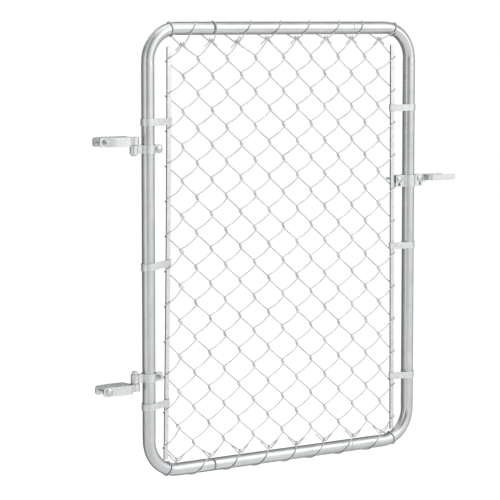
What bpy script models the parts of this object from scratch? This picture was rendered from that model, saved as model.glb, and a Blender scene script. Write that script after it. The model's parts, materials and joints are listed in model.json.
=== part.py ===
"""Chain link walk gate: a galvanised bent-tube leaf with woven fabric, hinges and a fork latch.

Metres, +Z up. X runs from the hinge side to the latch side and -Y is the front.
The origin is the centre of the flat inner face of the lower post strap's web,
where the strap bears on its post.
"""
import math

import bmesh
import bpy
from mathutils import Matrix, Vector

MM = 0.001

# Gate leaf, measured over the outside of its tube
GATE_WIDTH = 914.4 * MM
GATE_HEIGHT = 1219.2 * MM
TUBE_DIAMETER = 34.9 * MM
TUBE_WALL = 1.6 * MM
TUBE_SIDES = 12
CORNER_RADIUS = 105.0 * MM
CORNER_STEPS = 7
HINGE_LEG = 197.0 * MM
LATCH_LEG = 208.0 * MM
SWAGE_LENGTH = 50.0 * MM
SWAGE_TAPER = 8.0 * MM

# Clearance kept between pieces that touch, and how close two places are to be one
SEAT = 0.3 * MM
NEAR = 0.01 * MM

# Chain link fabric, woven of as many pickets and rows as fit; here 16 and 12
PICKET_PITCH = 47.0 * MM
WIRE_DIAMETER = 2.9 * MM
WIRE_SIDES = 3
ROW_PITCH = 94.0 * MM
LOWEST_LOOP = 79.0 * MM
TOP_KNUCKLE_DROP = 58.6 * MM
BOTTOM_KNUCKLE = 43.0 * MM
WEAVE_DEPTH = 3.0 * MM
TURN_RISE = 12.0 * MM
INTERLOCK = 1.0 * MM
KNUCKLE_STEP = 1.5 * MM
KNUCKLE_HOOK = 5.5 * MM
KNUCKLE_TAIL = 17.0 * MM
KNUCKLE_TAIL_DROP = 9.0 * MM

# Tension bars, each leaning a little, and the straps that hold them to the stiles
BAR_WIDTH = 12.7 * MM
BAR_THICKNESS = 4.8 * MM
BAR_TOP_GAP = 66.0 * MM
HINGE_BAR_TOP_OFFSET = 64.0 * MM
HINGE_BAR_BOTTOM_OFFSET = 54.0 * MM
LATCH_BAR_TOP_OFFSET = 61.0 * MM
LATCH_BAR_BOTTOM_OFFSET = 56.0 * MM
CLIP_HEIGHT = 19.0 * MM
CLIP_THICKNESS = 2.0 * MM
CLIP_TAIL = 9.0 * MM
CLIP_HOOK = 60
CLIP_ABOVE_UPPER_STRAP = 48.5 * MM
CLIP_BELOW_LOWER_STRAP = 54.5 * MM
LATCH_CLIP_DROP = 244.7 * MM
LATCH_CLIP_RAISE = 203.0 * MM
MIDDLE_CLIP_SHARES = (0.47, 0.475)
HINGE_CLIP_RISES = (0.0 * MM, 6.0 * MM, 4.5 * MM)

# Lacing wires wound round the rails and through the knuckles
LACING_DIAMETER = 2.9 * MM
LACING_SIDES = 3
LACING_STEPS = 8
LACING_START = 80.0 * MM
LACING_END = 62.0 * MM
LACING_PITCH = 6.0 * MM
LACING_COIL_STEPS = 12
LACING_LOOP_WIDTH = 4.0 * MM
LACING_LOOP_DEPTH = 6.5 * MM
LACING_LOOP_DIP = 5.5 * MM
LACING_LOOP_SIDE_DIP = 2.0 * MM
TOP_LEAN = (19.0 * MM, 65.0 * MM)
BOTTOM_LEAN = (8.0 * MM, 81.0 * MM)

# Hinges: a post strap with its pintle, and a collar with an eye on the stile
LOWER_STRAP_HEIGHT = 253.0 * MM
UPPER_STRAP_DROP = 312.2 * MM
POST_GAP = 50.0 * MM
STRAP_THICKNESS = 3.5 * MM
STRAP_HEIGHT = 25.0 * MM
STRAP_ARM = 84.0 * MM
STRAP_BEND = 6.0 * MM
STRAP_END_RADIUS = 8.0 * MM
POST_BOLT_INSET = 16.0 * MM
PINTLE_STANDOFF = 20.0 * MM
PINTLE_RADIUS = 7.9 * MM
PINTLE_PROUD = 10.0 * MM
PINTLE_TIP = 3.0 * MM
BOSS_RADIUS = 14.0 * MM
BOSS_HEIGHT = 22.0 * MM
BOSS_NECK = 22.0 * MM
STILE_OFFSET = 44.0 * MM
COLLAR_THICKNESS = 2.6 * MM
COLLAR_HEIGHT = 23.0 * MM
COLLAR_SLIT = 3.0 * MM
COLLAR_FLANGE = 43.5 * MM
COLLAR_BOLT_OFFSET = 32.0 * MM
EYE_CLEARANCE = 0.4 * MM

# Fork latch on the latch stile
LATCH_DROP = 450.2 * MM
PLATE_HALF_LENGTH = 50.0 * MM
PLATE_HEIGHT = 38.0 * MM
PLATE_DROP = 6.5 * MM
PLATE_THICKNESS = 3.0 * MM
PLATE_SLIT = 8.0 * MM
PLATE_HOLE_RISE = 7.5 * MM
PLATE_HOLE_RADIUS = 4.3 * MM
PLATE_CORNER = 7.0 * MM
PLATE_BOLT_OFFSET = 37.5 * MM
FORK_GAP = 50.0 * MM
FORK_THICKNESS = 5.0 * MM
FORK_HEIGHT = 17.0 * MM
FORK_DROP = 3.0 * MM
FORK_BEND = 7.0 * MM
FORK_WEB_OFFSET = 60.0 * MM
FORK_REACH = 151.0 * MM
FORK_TIP_RADIUS = 5.0 * MM
TONGUE_THICKNESS = 6.0 * MM
TONGUE_RADIUS = 10.0 * MM

# Carriage bolts and hex nuts
BOLT_RADIUS = 3.9 * MM
BOLT_SIDES = 10
BOLT_HEAD_RADIUS = 9.0 * MM
BOLT_HEAD_HEIGHT = 4.2 * MM
BOLT_CHAMFER = 0.8 * MM
NUT_FLATS = 13.0 * MM
NUT_HEIGHT = 6.5 * MM
COLLAR_BOLT_TAIL = 5.0 * MM
POST_BOLT_TAIL = 8.0 * MM
LATCH_BOLT_REACH = 51.0 * MM

# Places worked out from the sizes above
tube_radius = TUBE_DIAMETER / 2
bend_radius = CORNER_RADIUS - tube_radius
bend_sag = bend_radius * (1 - math.cos(math.pi / 4 / CORNER_STEPS))
pintle_x = STRAP_THICKNESS + PINTLE_STANDOFF
hinge_stile_x = pintle_x + STILE_OFFSET
latch_stile_x = hinge_stile_x + GATE_WIDTH - TUBE_DIAMETER
frame_bottom = -LOWER_STRAP_HEIGHT
frame_top = frame_bottom + GATE_HEIGHT
bottom_axis = frame_bottom + tube_radius
top_axis = frame_top - tube_radius
wire_radius = WIRE_DIAMETER / 2
lacing_radius = LACING_DIAMETER / 2
bar_bottom = frame_bottom + CORNER_RADIUS - math.sqrt(
    (bend_radius - tube_radius - bend_sag) ** 2
    - (bend_radius - HINGE_BAR_BOTTOM_OFFSET + BAR_WIDTH / 2) ** 2) + SEAT
bar_top = frame_top - BAR_TOP_GAP
top_knuckle = frame_top - TOP_KNUCKLE_DROP
bottom_knuckle = frame_bottom + BOTTOM_KNUCKLE
lowest_loop = frame_bottom + LOWEST_LOOP
rows = round((top_knuckle - lowest_loop) / ROW_PITCH + 0.5)
row_pitch = (top_knuckle - lowest_loop) / (rows - 0.5)
fabric_width = GATE_WIDTH - TUBE_DIAMETER - HINGE_BAR_TOP_OFFSET - LATCH_BAR_TOP_OFFSET
pickets = 2 * round(fabric_width / 2 / PICKET_PITCH)
upper_strap_z = frame_top - UPPER_STRAP_DROP
latch_z = frame_top - LATCH_DROP
hinge_clip_heights = (upper_strap_z + CLIP_ABOVE_UPPER_STRAP,
                      frame_bottom + MIDDLE_CLIP_SHARES[0] * GATE_HEIGHT,
                      -CLIP_BELOW_LOWER_STRAP)
latch_clip_heights = (frame_top - LATCH_CLIP_DROP,
                      frame_bottom + MIDDLE_CLIP_SHARES[1] * GATE_HEIGHT,
                      frame_bottom + LATCH_CLIP_RAISE)
pivot_x = latch_stile_x + PLATE_BOLT_OFFSET


def clear_scene():
    for thing in list(bpy.data.objects):
        bpy.data.objects.remove(thing, do_unlink=True)


def metal(name, colour, roughness, metallic):
    material = bpy.data.materials.new(name)
    material.use_nodes = True
    shader = material.node_tree.nodes["Principled BSDF"]
    shader.inputs["Base Color"].default_value = (*colour, 1.0)
    shader.inputs["Roughness"].default_value = roughness
    shader.inputs["Metallic"].default_value = metallic
    return material


def add_object(name, bm, material, parent=None):
    """Turn a bmesh into a named object with outward faces."""
    bmesh.ops.recalc_face_normals(bm, faces=bm.faces[:])
    mesh = bpy.data.meshes.new(name)
    bm.to_mesh(mesh)
    bm.free()
    if material:
        mesh.materials.append(material)
    mesh.shade_smooth()
    mesh.set_sharp_from_angle(angle=math.radians(35))
    thing = bpy.data.objects.new(name, mesh)
    bpy.context.collection.objects.link(thing)
    if parent:
        thing.parent = parent
        thing.matrix_parent_inverse = Matrix.Translation(-parent.location)
    return thing


def add_empty(name, place):
    empty = bpy.data.objects.new(name, None)
    empty.location = place
    bpy.context.collection.objects.link(empty)
    return empty


def combine(thing, other, operation):
    """Cut or join with another object, which is then only a guide."""
    modifier = thing.modifiers.new(operation.title(), "BOOLEAN")
    modifier.operation = operation
    modifier.solver = "EXACT"
    modifier.object = other
    other.hide_render = True
    other.display_type = "WIRE"


def circle(radius, sides, phase=0.5):
    """A regular section with flats facing the axes when phase is a half."""
    turn = 2 * math.pi / sides
    return [(radius * math.cos((i + phase) * turn), radius * math.sin((i + phase) * turn))
            for i in range(sides)]


def arc(centre, radius, start, end, steps):
    """Points on an arc in plan, angles in degrees."""
    points = []
    for i in range(steps + 1):
        angle = math.radians(start + (end - start) * i / steps)
        points.append((centre[0] + radius * math.cos(angle), centre[1] + radius * math.sin(angle)))
    return points


def sweep_rings(points, section, up):
    """Rings of a section carried along a path, mitred where the path turns."""
    path = [Vector(p) for p in points]
    ways = [(b - a).normalized() for a, b in zip(path, path[1:])]
    side = ways[0].cross(Vector(up)).normalized()
    top = side.cross(ways[0]).normalized()
    rings = []
    for i, place in enumerate(path):
        way = ways[max(i - 1, 0)]
        plane = (way + ways[min(i, len(ways) - 1)]).normalized()
        ring = []
        for a, b in section:
            offset = side * a + top * b
            ring.append(place + offset - way * (offset.dot(plane) / way.dot(plane)))
        rings.append(ring)
        if 0 < i < len(ways):
            turn = ways[i - 1].rotation_difference(ways[i])
            side = turn @ side
            top = turn @ top
    return rings


def skin(bm, rings, closed_ends=True):
    """Bridge rings of equal length, with a cap at each end."""
    loops = [[bm.verts.new(p) for p in ring] for ring in rings]
    for low, high in zip(loops, loops[1:]):
        for i in range(len(low)):
            j = (i + 1) % len(low)
            bm.faces.new((low[i], low[j], high[j], high[i]))
    if closed_ends:
        bm.faces.new(loops[0])
        bm.faces.new(loops[-1])
    return loops


def solid_sweep(bm, points, section, up=(0, 0, 1)):
    skin(bm, sweep_rings(points, section, up))


def hollow_sweep(bm, points, outer, inner, up):
    """A tube with open ends: an outer and an inner skin joined by end rims."""
    outside = skin(bm, sweep_rings(points, outer, up), closed_ends=False)
    inside = skin(bm, sweep_rings(points, inner, up), closed_ends=False)
    for a, b in ((outside[0], inside[0]), (outside[-1], inside[-1])):
        for i in range(len(a)):
            j = (i + 1) % len(a)
            bm.faces.new((a[i], a[j], b[j], b[i]))


def prism(bm, outline, low, high):
    """An outline in plan, raised from low to high."""
    bottom = [bm.verts.new((x, y, low)) for x, y in outline]
    top = [bm.verts.new((x, y, high)) for x, y in outline]
    bm.faces.new(bottom)
    bm.faces.new(top)
    for i in range(len(outline)):
        j = (i + 1) % len(outline)
        bm.faces.new((bottom[i], bottom[j], top[j], top[i]))


def strap_outline(path, thickness):
    """Both faces of a bent strip whose middle line is the path, as one outline."""
    path = [Vector(p) for p in path]
    ways = [(b - a).normalized() for a, b in zip(path, path[1:])]
    left, right = [], []
    for i, place in enumerate(path):
        before = ways[max(i - 1, 0)]
        after = ways[min(i, len(ways) - 1)]
        normal = Vector((-before.y - after.y, before.x + after.x)).normalized()
        reach = thickness / 2 / normal.dot(Vector((-before.y, before.x)))
        left.append(tuple(place + normal * reach))
        right.append(tuple(place - normal * reach))
    return left + right[::-1]


def revolve(bm, profile, sides):
    """Turn a profile of (radius, height) about Z; radius 0 closes an end."""
    rings = []
    for radius, height in profile:
        if radius == 0:
            rings.append([bm.verts.new((0, 0, height))])
        else:
            rings.append([bm.verts.new((x, y, height)) for x, y in circle(radius, sides)])
    for low, high in zip(rings, rings[1:]):
        for i in range(sides):
            j = (i + 1) % sides
            corners = [low[i % len(low)], low[j % len(low)], high[j % len(high)], high[i % len(high)]]
            corners = [v for n, v in enumerate(corners) if v not in corners[:n]]
            bm.faces.new(corners)
    return rings


def along_y(bm, x, y, z, facing):
    """Lay what was turned about Z along Y, its +Z towards the given side."""
    turn = Matrix.Rotation(math.radians(-90 * facing), 4, "X")
    bm.transform(Matrix.Translation((x, y, z)) @ turn)


def round_corners(bm, ends, heights, radius):
    """Round the corners of a strip's ends: the edges that run along Y at these X and Z."""
    edges = []
    for edge in bm.edges:
        a, b = (v.co for v in edge.verts)
        across = abs(a.x - b.x) < NEAR and abs(a.z - b.z) < NEAR
        at_end = min(abs(a.x - x) for x in ends) < NEAR
        if across and at_end and min(abs(a.z - z) for z in heights) < NEAR:
            edges.append(edge)
    bmesh.ops.bevel(bm, geom=edges, offset=radius, segments=3, affect="EDGES", profile=0.5)


def tube_sections(radius, wall):
    return circle(radius, TUBE_SIDES, 0), circle(radius - wall, TUBE_SIDES, 0)


def stile_path(stile_x, inward, leg):
    """Middle line of a bent stile: along the top, round both bends and back along the bottom."""
    bend_x = stile_x + inward * bend_radius
    path = [(stile_x + inward * leg, 0, top_axis)]
    for i in range(CORNER_STEPS + 1):
        angle = math.pi / 2 * i / CORNER_STEPS
        path.append((bend_x - inward * bend_radius * math.sin(angle), 0,
                     top_axis - bend_radius + bend_radius * math.cos(angle)))
    for i in range(CORNER_STEPS + 1):
        angle = math.pi / 2 * i / CORNER_STEPS
        path.append((bend_x - inward * bend_radius * math.cos(angle), 0,
                     bottom_axis + bend_radius - bend_radius * math.sin(angle)))
    path.append((stile_x + inward * leg, 0, bottom_axis))
    return path


def make_stile(name, stile_x, inward, leg, material, parent):
    bm = bmesh.new()
    outer, inner = tube_sections(tube_radius, TUBE_WALL)
    hollow_sweep(bm, stile_path(stile_x, inward, leg), outer, inner, (0, 1, 0))
    return add_object(name, bm, material, parent)


def make_rail(name, height, material, parent):
    """A middle length of tube whose narrowed ends slide into the stiles."""
    left = hinge_stile_x + HINGE_LEG + SEAT
    right = latch_stile_x - LATCH_LEG - SEAT
    neck = tube_radius - TUBE_WALL - SEAT
    stations = [(left - SWAGE_LENGTH, neck), (left, neck), (left, tube_radius),
                (right, tube_radius), (right, neck), (right + SWAGE_LENGTH, neck)]
    inner_stations = [(left - SWAGE_LENGTH, neck - TUBE_WALL), (left + SWAGE_TAPER, neck - TUBE_WALL),
                      (left + 2 * SWAGE_TAPER, tube_radius - TUBE_WALL),
                      (right - 2 * SWAGE_TAPER, tube_radius - TUBE_WALL),
                      (right - SWAGE_TAPER, neck - TUBE_WALL), (right + SWAGE_LENGTH, neck - TUBE_WALL)]
    bm = bmesh.new()
    loops = []
    for line in (stations, inner_stations):
        rings = [[(x, y, height + z) for y, z in circle(radius, TUBE_SIDES, 0)] for x, radius in line]
        loops.append(skin(bm, rings, closed_ends=False))
    for end in (0, -1):
        a, b = loops[0][end], loops[1][end]
        for i in range(TUBE_SIDES):
            j = (i + 1) % TUBE_SIDES
            bm.faces.new((a[i], a[j], b[j], b[i]))
    return add_object(name, bm, material, parent)


def bar_offset(top, bottom, height):
    share = (height - bar_bottom) / (bar_top - bar_bottom)
    return bottom + (top - bottom) * share


def hinge_bar_x(height):
    return hinge_stile_x + bar_offset(HINGE_BAR_TOP_OFFSET, HINGE_BAR_BOTTOM_OFFSET, height)


def latch_bar_x(height):
    return latch_stile_x - bar_offset(LATCH_BAR_TOP_OFFSET, LATCH_BAR_BOTTOM_OFFSET, height)


def column_x(column, height):
    """Where a column of interlocks stands, between the two leaning bars."""
    left = hinge_bar_x(height)
    return left + (latch_bar_x(height) - left) * column / pickets


def make_bar(name, bar_x, material, parent):
    bm = bmesh.new()
    section = [(-BAR_WIDTH / 2, -BAR_THICKNESS / 2), (BAR_WIDTH / 2, -BAR_THICKNESS / 2),
               (BAR_WIDTH / 2, BAR_THICKNESS / 2), (-BAR_WIDTH / 2, BAR_THICKNESS / 2)]
    rings = [[(bar_x(z) + x, y, z) for x, y in section] for z in (bar_bottom, bar_top)]
    skin(bm, rings)
    return add_object(name, bm, material, parent)


def turn_points(column, height, side):
    """The two points where a picket turns back at a column.

    Side is -1 at a picket's left edge and 1 at its right. A wire climbs to the right
    in front and to the left behind, so it changes face as it turns.
    """
    x = column_x(column, height)
    depth = WEAVE_DEPTH
    reach = INTERLOCK
    if column in (0, pickets):
        depth = BAR_THICKNESS / 2 + SEAT + 1.45 * wire_radius
        reach = BAR_WIDTH / 2 + SEAT + 1.2 * wire_radius
    first = -side * depth
    return [(x + side * reach, first, height - TURN_RISE / 2),
            (x + side * reach, -first, height + TURN_RISE / 2)]


def knuckle_points(x, height, side, upward):
    """A picket's end, crossed over its neighbour, hooked and turned back beside it.

    Side is the way the wire was going, and upward is 1 at the top and -1 at the bottom.
    """
    face = -side * upward * WEAVE_DEPTH
    tail_x = x + side * (2 * KNUCKLE_STEP + KNUCKLE_TAIL)
    return [(x + side * KNUCKLE_STEP, face, height + upward * KNUCKLE_STEP),
            (x + side * 2 * KNUCKLE_STEP, -face / 6, height + upward * KNUCKLE_HOOK),
            (tail_x, -1.4 * face, height - upward * KNUCKLE_TAIL_DROP)]


def picket_path(index):
    """One woven wire from its bottom knuckle to its top knuckle."""
    odd = index + 1 if index % 2 == 0 else index
    even = index if index % 2 == 0 else index + 1
    odd_side = 1 if odd > even else -1
    foot = column_x(odd, bottom_knuckle)
    path = knuckle_points(foot, bottom_knuckle, odd_side, -1)[::-1]
    for row in range(rows):
        height = lowest_loop + row * row_pitch
        path += turn_points(even, height, -odd_side)
        if row < rows - 1:
            path += turn_points(odd, height + row_pitch / 2, odd_side)
    head = column_x(odd, top_knuckle)
    return path + knuckle_points(head, top_knuckle, odd_side, 1)


def make_fabric(material, parent):
    """All pickets, hooked through each other and fused where they touch."""
    weaves = []
    for parity in (0, 1):
        bm = bmesh.new()
        for index in range(parity, pickets, 2):
            solid_sweep(bm, picket_path(index), circle(1.2 * wire_radius, WIRE_SIDES, 0), (0, 1, 0))
        weaves.append(add_object(("chain_link_fabric", "odd_pickets")[parity], bm, material, parent))
    combine(weaves[0], weaves[1], "UNION")
    return weaves[0]


def make_clip(name, stile_x, bar_x, height, rise, material, parent):
    """A strap hooked behind the stile, brought over the bar and turned under it."""
    inward = 1 if bar_x(height) > stile_x else -1
    reach = abs(bar_x(height + rise) - stile_x)
    ring = tube_radius + SEAT + CLIP_THICKNESS / 2
    face = BAR_THICKNESS / 2 + SEAT + CLIP_THICKNESS / 2
    edge = reach + BAR_WIDTH / 2 + SEAT + CLIP_THICKNESS / 2
    lean = math.degrees(math.asin((ring - face) / math.hypot(edge, ring - face)))
    path = arc((0, 0), ring / math.cos(math.radians(8)), CLIP_HOOK, 270 + lean, 14)
    path += [(edge, -face), (edge, face), (edge - CLIP_TAIL, face)]
    bm = bmesh.new()
    prism(bm, strap_outline(path, CLIP_THICKNESS), -CLIP_HEIGHT / 2, CLIP_HEIGHT / 2)
    for vert in bm.verts:
        vert.co.z += rise * vert.co.x / reach
        vert.co.x *= inward
    bmesh.ops.translate(bm, verts=bm.verts, vec=(stile_x, 0, height))
    return add_object(name, bm, material, parent)


def rail_ring(x, angle, upward, radius):
    """A point at an angle round the rail or its bend; 0 is the side towards the fabric."""
    axis = top_axis if upward > 0 else bottom_axis
    tilt = 0.0
    for stile_x, inward in ((hinge_stile_x, 1), (latch_stile_x, -1)):
        past = (stile_x + inward * bend_radius - x) * inward
        if past > 0:
            tilt = -inward * math.asin(min(past / bend_radius, 1))
    drop = bend_radius * (1 - math.cos(tilt))
    out = -math.cos(angle) * radius
    return (x + out * math.sin(tilt), -upward * math.sin(angle) * radius,
            axis + upward * (out * math.cos(tilt) - drop))


def lacing_path(upward, knuckle, lean):
    """One wire wound round a rail once for each knuckle, with a full coil at each end."""
    axis = top_axis if upward > 0 else bottom_axis
    radius = tube_radius + SEAT + bend_sag + 2 * lacing_radius
    low = abs(axis - knuckle) + LACING_LOOP_DIP
    tangent = math.acos(radius / low)
    sweep = 2 * (math.pi - tangent)
    start = hinge_stile_x + LACING_START
    end = latch_stile_x - LACING_END
    path = []
    for i in range(LACING_COIL_STEPS + 1):
        share = i / LACING_COIL_STEPS
        turn = tangent + sweep + 2 * math.pi * (share - 1)
        path.append(rail_ring(start + LACING_PITCH * (share - 1), turn, upward, radius))
    for knot in range(1, pickets, 2):
        x = column_x(knot, knuckle)
        for side in (-1, 0, 1):
            dip = LACING_LOOP_SIDE_DIP if side else LACING_LOOP_DIP
            path.append((x + side * LACING_LOOP_WIDTH, -side * upward * LACING_LOOP_DEPTH,
                         knuckle - upward * dip))
        if knot == pickets - 1:
            break
        for i in range(LACING_STEPS + 1):
            share = i / LACING_STEPS
            path.append(rail_ring(x + lean[0] + (lean[1] - lean[0]) * share, tangent + sweep * share,
                                  upward, radius))
    for i in range(LACING_COIL_STEPS + 1):
        share = i / LACING_COIL_STEPS
        path.append(rail_ring(end + LACING_PITCH * share, tangent + 2 * math.pi * share, upward, radius))
    return path


def make_lacing(name, upward, knuckle, lean, material, parent):
    bm = bmesh.new()
    section = circle(1.2 * lacing_radius, LACING_SIDES, 0)
    solid_sweep(bm, lacing_path(upward, knuckle, lean), section, (1, 0, 0))
    return add_object(name, bm, material, parent)


def bolt_hole(x, z, half_length, radius=BOLT_RADIUS + SEAT):
    """A guide that drills a clearance hole along Y."""
    bm = bmesh.new()
    wide = radius / math.cos(math.pi / BOLT_SIDES)
    profile = [(0, -half_length), (wide, -half_length), (wide, half_length), (0, half_length)]
    revolve(bm, profile, BOLT_SIDES)
    along_y(bm, x, 0, z, 1)
    return add_object("drill", bm, None)


def make_bolt(name, x, z, head_y, end_y, material, parent):
    """A carriage bolt along Y: a domed head at head_y and a plain end at end_y."""
    facing = 1 if end_y > head_y else -1
    length = abs(end_y - head_y)
    dome = [(0, -BOLT_HEAD_HEIGHT), (0.55 * BOLT_HEAD_RADIUS, -0.8 * BOLT_HEAD_HEIGHT),
            (0.9 * BOLT_HEAD_RADIUS, -0.35 * BOLT_HEAD_HEIGHT), (BOLT_HEAD_RADIUS, 0)]
    shank = [(BOLT_RADIUS, 0), (BOLT_RADIUS, length - BOLT_CHAMFER),
             (BOLT_RADIUS - BOLT_CHAMFER, length), (0, length)]
    bm = bmesh.new()
    revolve(bm, dome + shank, BOLT_SIDES)
    along_y(bm, x, head_y, z, facing)
    return add_object(name, bm, material, parent)


def make_nut(name, x, z, seat_y, facing, material, parent):
    """A hex nut along Y whose bearing face is at seat_y."""
    bm = bmesh.new()
    outer = circle(NUT_FLATS / 2 / math.cos(math.pi / 6), 6, 0)
    hole = (BOLT_RADIUS + SEAT) / math.cos(math.pi / 6)
    inner = circle(hole, 6, 0)
    rings = [outer, outer, inner, inner]
    heights = [0, NUT_HEIGHT, NUT_HEIGHT, 0]
    loops = [[bm.verts.new((a, b, h)) for a, b in ring] for ring, h in zip(rings, heights)]
    for n in range(4):
        low, high = loops[n], loops[(n + 1) % 4]
        for i in range(6):
            j = (i + 1) % 6
            bm.faces.new((low[i], low[j], high[j], high[i]))
    along_y(bm, x, seat_y, z, facing)
    return add_object(name, bm, material, parent)


def make_post_strap(name, height, material, parent):
    """A strip bent square round the post, with a bolt hole near the ends of its arms."""
    face = POST_GAP / 2 + STRAP_THICKNESS / 2
    web = STRAP_THICKNESS / 2
    path = [(-STRAP_ARM, -face)]
    path += arc((web - STRAP_BEND, -face + STRAP_BEND), STRAP_BEND, -90, 0, 3)
    path += arc((web - STRAP_BEND, face - STRAP_BEND), STRAP_BEND, 0, 90, 3)
    path += [(-STRAP_ARM, face)]
    bm = bmesh.new()
    half = STRAP_HEIGHT / 2
    prism(bm, strap_outline(path, STRAP_THICKNESS), -half, half)
    round_corners(bm, (-STRAP_ARM,), (-half, half), STRAP_END_RADIUS)
    bmesh.ops.translate(bm, verts=bm.verts, vec=(0, 0, height))
    strap = add_object(name, bm, material, parent)
    drill = bolt_hole(-STRAP_ARM + POST_BOLT_INSET, height, POST_GAP)
    combine(strap, drill, "DIFFERENCE")
    return strap


def make_pintle(name, height, upward, material, parent):
    """A round boss on a short neck, with the pin that carries the gate's eye."""
    neck_x = STRAP_THICKNESS + SEAT
    spread = math.degrees(math.asin(BOSS_NECK / 2 / BOSS_RADIUS))
    outline = [(neck_x, -BOSS_NECK / 2)]
    outline += arc((pintle_x, 0), BOSS_RADIUS, spread - 180, 180 - spread, 14)
    outline += [(neck_x, BOSS_NECK / 2)]
    half = BOSS_HEIGHT / 2
    bm = bmesh.new()
    prism(bm, outline, height - half, height + half)
    boss = add_object(name, bm, material, parent)
    pin = bmesh.new()
    length = half + SEAT + COLLAR_HEIGHT + PINTLE_PROUD
    profile = [(0, 0), (PINTLE_RADIUS, 0), (PINTLE_RADIUS, length - PINTLE_TIP),
               (PINTLE_RADIUS - PINTLE_TIP, length), (0, length)]
    revolve(pin, profile, 14)
    pin.transform(Matrix.Translation((pintle_x, 0, height)) @ Matrix.Diagonal((1, 1, upward, 1)))
    combine(boss, add_object(name + "_pin", pin, material), "UNION")
    return boss


def make_collar(name, low, material, parent):
    """A strip wrapped round stile and pintle: its flanges are bolted on the fabric side."""
    band = tube_radius + SEAT + COLLAR_THICKNESS / 2
    band /= math.cos(math.pi / 32)
    eye = PINTLE_RADIUS + EYE_CLEARANCE + COLLAR_THICKNESS / 2
    half = COLLAR_SLIT / 2 + COLLAR_THICKNESS / 2
    band_gap = math.degrees(math.asin(half / band))
    eye_gap = math.degrees(math.asin(half / eye))
    front = [(COLLAR_FLANGE, -half)]
    front += arc((0, 0), band, -band_gap, band_gap - 180, 14)
    front += arc((-STILE_OFFSET, 0), eye, -eye_gap, -180, 8)
    path = front + [(x, -y) for x, y in front[-2::-1]]
    bm = bmesh.new()
    prism(bm, strap_outline(path, COLLAR_THICKNESS), low, low + COLLAR_HEIGHT)
    bmesh.ops.translate(bm, verts=bm.verts, vec=(hinge_stile_x, 0, 0))
    collar = add_object(name, bm, material, parent)
    drill = bolt_hole(hinge_stile_x + COLLAR_BOLT_OFFSET, low + COLLAR_HEIGHT / 2, 3 * COLLAR_THICKNESS)
    combine(collar, drill, "DIFFERENCE")
    return collar


def make_plate(name, facing, material, parent):
    """Half of the latch clamp: a plate with a half-round over the stile and four holes."""
    band = (tube_radius + SEAT + PLATE_THICKNESS / 2) / math.cos(math.pi / 28)
    face = PLATE_SLIT / 2 + PLATE_THICKNESS / 2
    gap = math.degrees(math.asin(face / band))
    path = [(-PLATE_HALF_LENGTH, facing * face)]
    path += [(x, facing * y) for x, y in arc((0, 0), band, 180 - gap, gap, 12)]
    path += [(PLATE_HALF_LENGTH, facing * face)]
    low = latch_z - PLATE_HEIGHT / 2 - PLATE_DROP
    high = low + PLATE_HEIGHT
    bm = bmesh.new()
    prism(bm, strap_outline(path, PLATE_THICKNESS), low, high)
    round_corners(bm, (-PLATE_HALF_LENGTH, PLATE_HALF_LENGTH), (low, high), PLATE_CORNER)
    bmesh.ops.translate(bm, verts=bm.verts, vec=(latch_stile_x, 0, 0))
    plate = add_object(name, bm, material, parent)
    for side in (-1, 1):
        x = latch_stile_x + side * PLATE_BOLT_OFFSET
        for z, radius in ((latch_z, BOLT_RADIUS + SEAT), (low + PLATE_HOLE_RISE, PLATE_HOLE_RADIUS)):
            combine(plate, bolt_hole(x, z, 3 * PLATE_SLIT, radius), "DIFFERENCE")
    return plate


def make_fork(material, parent):
    """A bar bent into two prongs that straddle the post, with a tongue on the pivot bolt."""
    face = FORK_GAP / 2 + FORK_THICKNESS / 2
    web = latch_stile_x + FORK_WEB_OFFSET + FORK_THICKNESS / 2
    tip = latch_stile_x + FORK_REACH
    path = [(tip, -face)]
    path += arc((web + FORK_BEND, -face + FORK_BEND), FORK_BEND, -90, -180, 3)
    path += arc((web + FORK_BEND, face - FORK_BEND), FORK_BEND, 180, 90, 3)
    path += [(tip, face)]
    low = latch_z - FORK_HEIGHT / 2 - FORK_DROP
    high = low + FORK_HEIGHT
    bm = bmesh.new()
    prism(bm, strap_outline(path, FORK_THICKNESS), low, high)
    round_corners(bm, (tip,), (low, high), FORK_TIP_RADIUS)
    fork = add_object("latch_fork", bm, material, parent)

    stop = latch_stile_x + tube_radius + SEAT
    tongue = bmesh.new()
    outline = [(web, TONGUE_RADIUS * 0.6)]
    outline += arc((pivot_x, 0), TONGUE_RADIUS, 60, 180, 5)
    outline += [(stop, -0.45 * TONGUE_RADIUS), (stop, -TONGUE_RADIUS), (web, -TONGUE_RADIUS)]
    prism(tongue, outline, -TONGUE_THICKNESS / 2, TONGUE_THICKNESS / 2)
    turn = Matrix.Rotation(math.radians(90), 4, "X")
    tongue.transform(Matrix.Translation((0, 0, latch_z)) @ turn)
    combine(fork, add_object("tongue", tongue, material), "UNION")
    combine(fork, bolt_hole(pivot_x, latch_z, 2 * TONGUE_THICKNESS), "DIFFERENCE")
    return fork


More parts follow.
